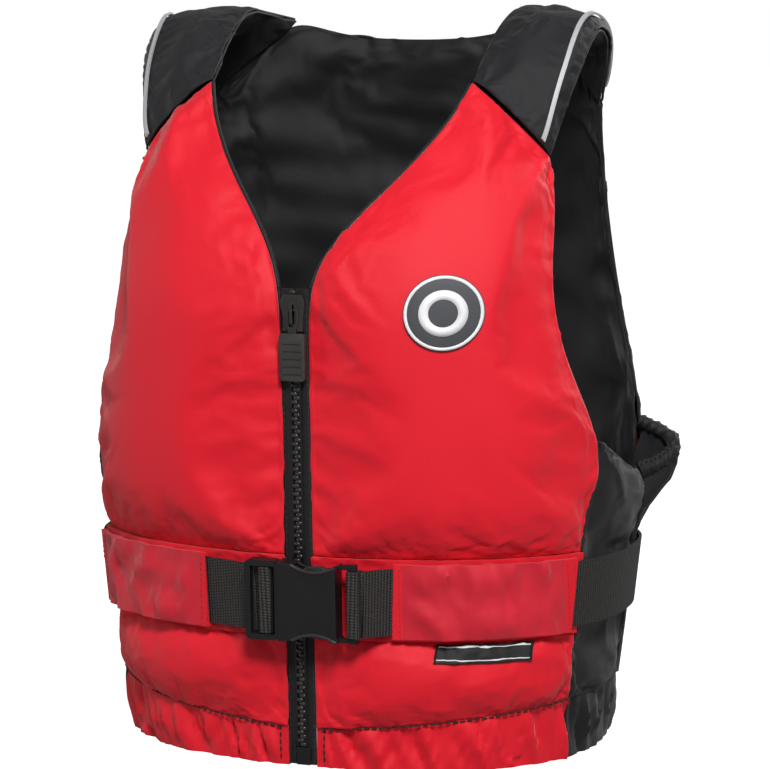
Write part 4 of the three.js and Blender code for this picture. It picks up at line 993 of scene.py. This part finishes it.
# ---- Badge and label ---------------------------------------------------------------------------
# A round moulded badge with a plain raised ring, and a woven label with a pale line along each
# long edge. Both are fixed flat to the covers and follow their curve.
badge_rubber = plastic_finish("badge_rubber", (0.035, 0.036, 0.04), 0.55, 0.00002)
badge_pale = plastic_finish("badge_pale", (0.5, 0.5, 0.51), 0.5, 0.00002)
label_weave = cloth_finish("label_weave", (0.006, 0.006, 0.007), (0.0006, 0.0006), 0.00006, mottle=0.1)
label_edge = cloth_finish("label_edge", (0.6, 0.6, 0.6), (0.0006, 0.0006), 0.00006, mottle=0.1)
IN_FRONT = -0.3


def lay_on(piece, cover, lift):
    """Lays a flat piece, drawn upright at its own place in x and z, on a cover's front."""
    for vert in piece.data.vertices:
        start = Vector((vert.co.x, IN_FRONT, vert.co.z))
        hit, normal, _, _ = surfaces[cover].ray_cast(start, Vector((0, 1, 0)))
        if hit is not None:
            if normal.y > 0:
                normal = -normal
            vert.co = hit + normal * (lift - vert.co.y)
    piece.data.update()
    smooth_shading(piece)


def stand_up(shape, centre):
    """Turns a shape drawn in X and Y to stand in X and Z, about a centre, facing -Y."""
    turn = Matrix.Rotation(math.radians(90), 4, "X")
    place = Matrix.Translation((centre[0], 0, centre[1]))
    bmesh.ops.transform(shape, matrix=place @ turn, verts=shape.verts)


def domed_disc(name, centre, radius, thickness, material):
    """A moulded disc about (x, z): flat on top, with a rounded edge."""
    shape = bmesh.new()
    bmesh.ops.create_uvsphere(shape, u_segments=64, v_segments=40, radius=1)
    for vert in shape.verts:
        share = min(1, math.hypot(vert.co.x, vert.co.y))
        vert.co.z = math.copysign(1 - share ** 12, vert.co.z) * thickness / 2 + thickness / 2
        vert.co.x *= radius
        vert.co.y *= radius
    stand_up(shape, centre)
    return add_piece(name, shape, material)


def flat_ring(name, centre, outer, inner, thickness, material):
    shape = bmesh.new()
    bmesh.ops.create_circle(shape, segments=96, radius=outer)
    bmesh.ops.create_circle(shape, segments=96, radius=inner)
    bmesh.ops.bridge_loops(shape, edges=shape.edges)
    grown = bmesh.ops.extrude_face_region(shape, geom=shape.faces[:])
    lifted = [g for g in grown["geom"] if isinstance(g, bmesh.types.BMVert)]
    bmesh.ops.translate(shape, verts=lifted, vec=(0, 0, thickness))
    bmesh.ops.recalc_face_normals(shape, faces=shape.faces)
    stand_up(shape, centre)
    return add_piece(name, shape, material)


badge_low, badge_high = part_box("chest_badge")
badge_centre = ((badge_low.x + badge_high.x) / 2, (badge_low.z + badge_high.z) / 2)
badge_radius = (badge_high.z - badge_low.z) / 2
badge = domed_disc("badge_base", badge_centre, badge_radius, 0.0012, badge_rubber)
lay_on(badge, "chest_cover_left", 0.0004)
place_piece(badge, "badge", "chest_badge")
for name, outer, inner in (("badge_rim", 0.97, 0.89), ("badge_ring", 0.6, 0.36)):
    ring = flat_ring(name, badge_centre, badge_radius * outer, badge_radius * inner, 0.0005, badge_pale)
    lay_on(ring, "chest_cover_left", 0.0014)
    place_piece(ring, "badge")


def panel(name, low, high, thickness, material):
    """A flat rectangle between two (x, z) corners, its thickness along -Y."""
    shape = bmesh.new()
    bmesh.ops.create_cube(shape, size=1)
    size = Vector((high[0] - low[0], thickness, high[1] - low[1]))
    bmesh.ops.scale(shape, vec=size, verts=shape.verts)
    middle = Vector(((low[0] + high[0]) / 2, -thickness / 2, (low[1] + high[1]) / 2))
    bmesh.ops.translate(shape, vec=middle, verts=shape.verts)
    bmesh.ops.subdivide_edges(shape, edges=shape.edges, cuts=24, use_grid_fill=True)
    return add_piece(name, shape, material)


label_low, label_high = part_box("woven_label")
LABEL_TRIM = 0.0005
corner_low = (label_low.x, label_low.z + LABEL_TRIM)
corner_high = (label_high.x, label_high.z - LABEL_TRIM)
label = panel("label_cloth", corner_low, corner_high, 0.0006, label_weave)
lay_on(label, "waist_cover_left", 0.0007)
place_piece(label, "label", "woven_label")
EDGE_IN = 0.0014
EDGE_WIDE = 0.0006
for name, low, high in (
        ("label_edge_top", (corner_low[0] + EDGE_IN, corner_high[1] - EDGE_IN - EDGE_WIDE),
         (corner_high[0] - EDGE_IN, corner_high[1] - EDGE_IN)),
        ("label_edge_foot", (corner_low[0] + EDGE_IN, corner_low[1] + EDGE_IN),
         (corner_high[0] - EDGE_IN, corner_low[1] + EDGE_IN + EDGE_WIDE))):
    stripe = panel(name, low, high, 0.0002, label_edge)
    lay_on(stripe, "waist_cover_left", 0.0018)
    place_piece(stripe, "label")

# ---- Stitching ---------------------------------------------------------------------------------
# Lock stitches in matching thread. Each stitch is a short bead of thread that dips into the cloth
# at both ends.
red_thread = cloth_finish("red_thread", (0.4, 0.008, 0.02), (0.0004, 0.0004), 0.00003)
black_thread = cloth_finish("black_thread", (0.006, 0.006, 0.006), (0.0004, 0.0004), 0.00003)


def stitch_row(name, points, thread, length=0.0024, gap=0.0009, thick=0.00032):
    """Stitches along a run of (place, normal) points on a surface."""
    row = bmesh.new()
    travelled = 0.0
    next_at = 0.0
    pitch = length + gap
    for (here, normal), (there, _) in zip(points, points[1:]):
        step = (there - here).length
        if step < 1e-7:
            continue
        along = (there - here) / step
        while next_at <= travelled + step:
            place = here + along * (next_at - travelled)
            across = along.cross(normal).normalized()
            up = across.cross(along).normalized()
            turn = Matrix((along, across, up)).transposed().to_4x4()
            grow = Matrix.Diagonal((length / 2, thick, thick * 0.8, 1))
            bmesh.ops.create_uvsphere(row, u_segments=6, v_segments=4, radius=1,
                                      matrix=Matrix.Translation(place + normal * thick * 0.4) @ turn @ grow)
            next_at += pitch
        travelled += step
    piece = add_piece(name, row, thread)
    smooth_shading(piece)
    return piece


def on_surface(cover, flat_points):
    """Where straight lines from the front meet a cover, for a run of (x, z) points."""
    found = []
    for x, z in flat_points:
        hit, normal, _, _ = surfaces[cover].ray_cast(Vector((x, IN_FRONT, z)), Vector((0, 1, 0)))
        if hit is not None:
            found.append((hit, -normal if normal.y > 0 else normal))
    return found


grey_thread = cloth_finish("grey_thread", (0.03, 0.03, 0.03), (0.0004, 0.0004), 0.00003)
zip_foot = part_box("zip_tape_left")[0].z
ZIP_SEW = 0.0076
for side, sign in SIDES.items():
    remember(bpy.data.objects[f"zip_tape_cloth_{side}"])
    run = [(sign * ZIP_SEW, zip_foot + 0.003 + i * (zip_top - zip_foot - 0.005) / 60) for i in range(61)]
    seam = on_surface(f"zip_tape_cloth_{side}", run)
    if len(seam) > 4:
        place_piece(stitch_row(f"zip_stitch_{side}", seam, grey_thread, 0.0030, 0.0012, 0.0003), "zip_tape")

for side, sign in SIDES.items():
    low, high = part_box(f"belt_tunnel_{side}")
    mouth, far = sorted((low.x, high.x), key=abs)
    for number, inset in enumerate((0.0016, 0.0056)):
        for end, x in (("mouth", mouth + sign * inset), ("far", far - sign * inset * 0.8)):
            run = [(x, low.z + 0.002 + i * (high.z - low.z - 0.004) / 24) for i in range(25)]
            seam = on_surface(f"tunnel_cloth_{side}", run)
            if len(seam) > 4:
                row = stitch_row(f"tunnel_stitch_{end}_{number}_{side}", seam, red_thread)
                place_piece(row, "tunnel_fabric")

OVERLOCK_END = 0.014
for side, sign in SIDES.items():
    waist = bpy.data.objects[f"waist_cover_{side}"]
    hem = bpy.data.objects[f"hem_skirt_front_{side}_cloth"]
    remember(hem)
    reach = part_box(f"waist_shell_{side}")
    edge = max(abs(reach[0].x), abs(reach[1].x)) - 0.003
    foot = edge_run(waist, lambda p: p.z < 0.041 and OVERLOCK_END < abs(p.x) < edge)
    foot.sort(key=lambda p: abs(p.x))
    foot = [p + Vector((p.x, p.y, 0)).normalized() * 0.0007 - Vector((0, 0, 0.0006)) for p in foot]
    line = [(p, Vector((p.x, p.y, 0)).normalized()) for p in foot]
    place_piece(stitch_row(f"hem_overlock_{side}", line, black_thread, 0.0042, 0.0002, 0.00065),
                "black_fabric")
    drop = [(sign * OVERLOCK_END, foot[0].z - 0.001 - i * (foot[0].z - 0.003) / 20) for i in range(21)]
    line = on_surface(hem.name, drop)
    if len(line) > 3:
        place_piece(stitch_row(f"hem_overlock_end_{side}", line, black_thread, 0.0042, 0.0002, 0.0006),
                    "black_fabric")
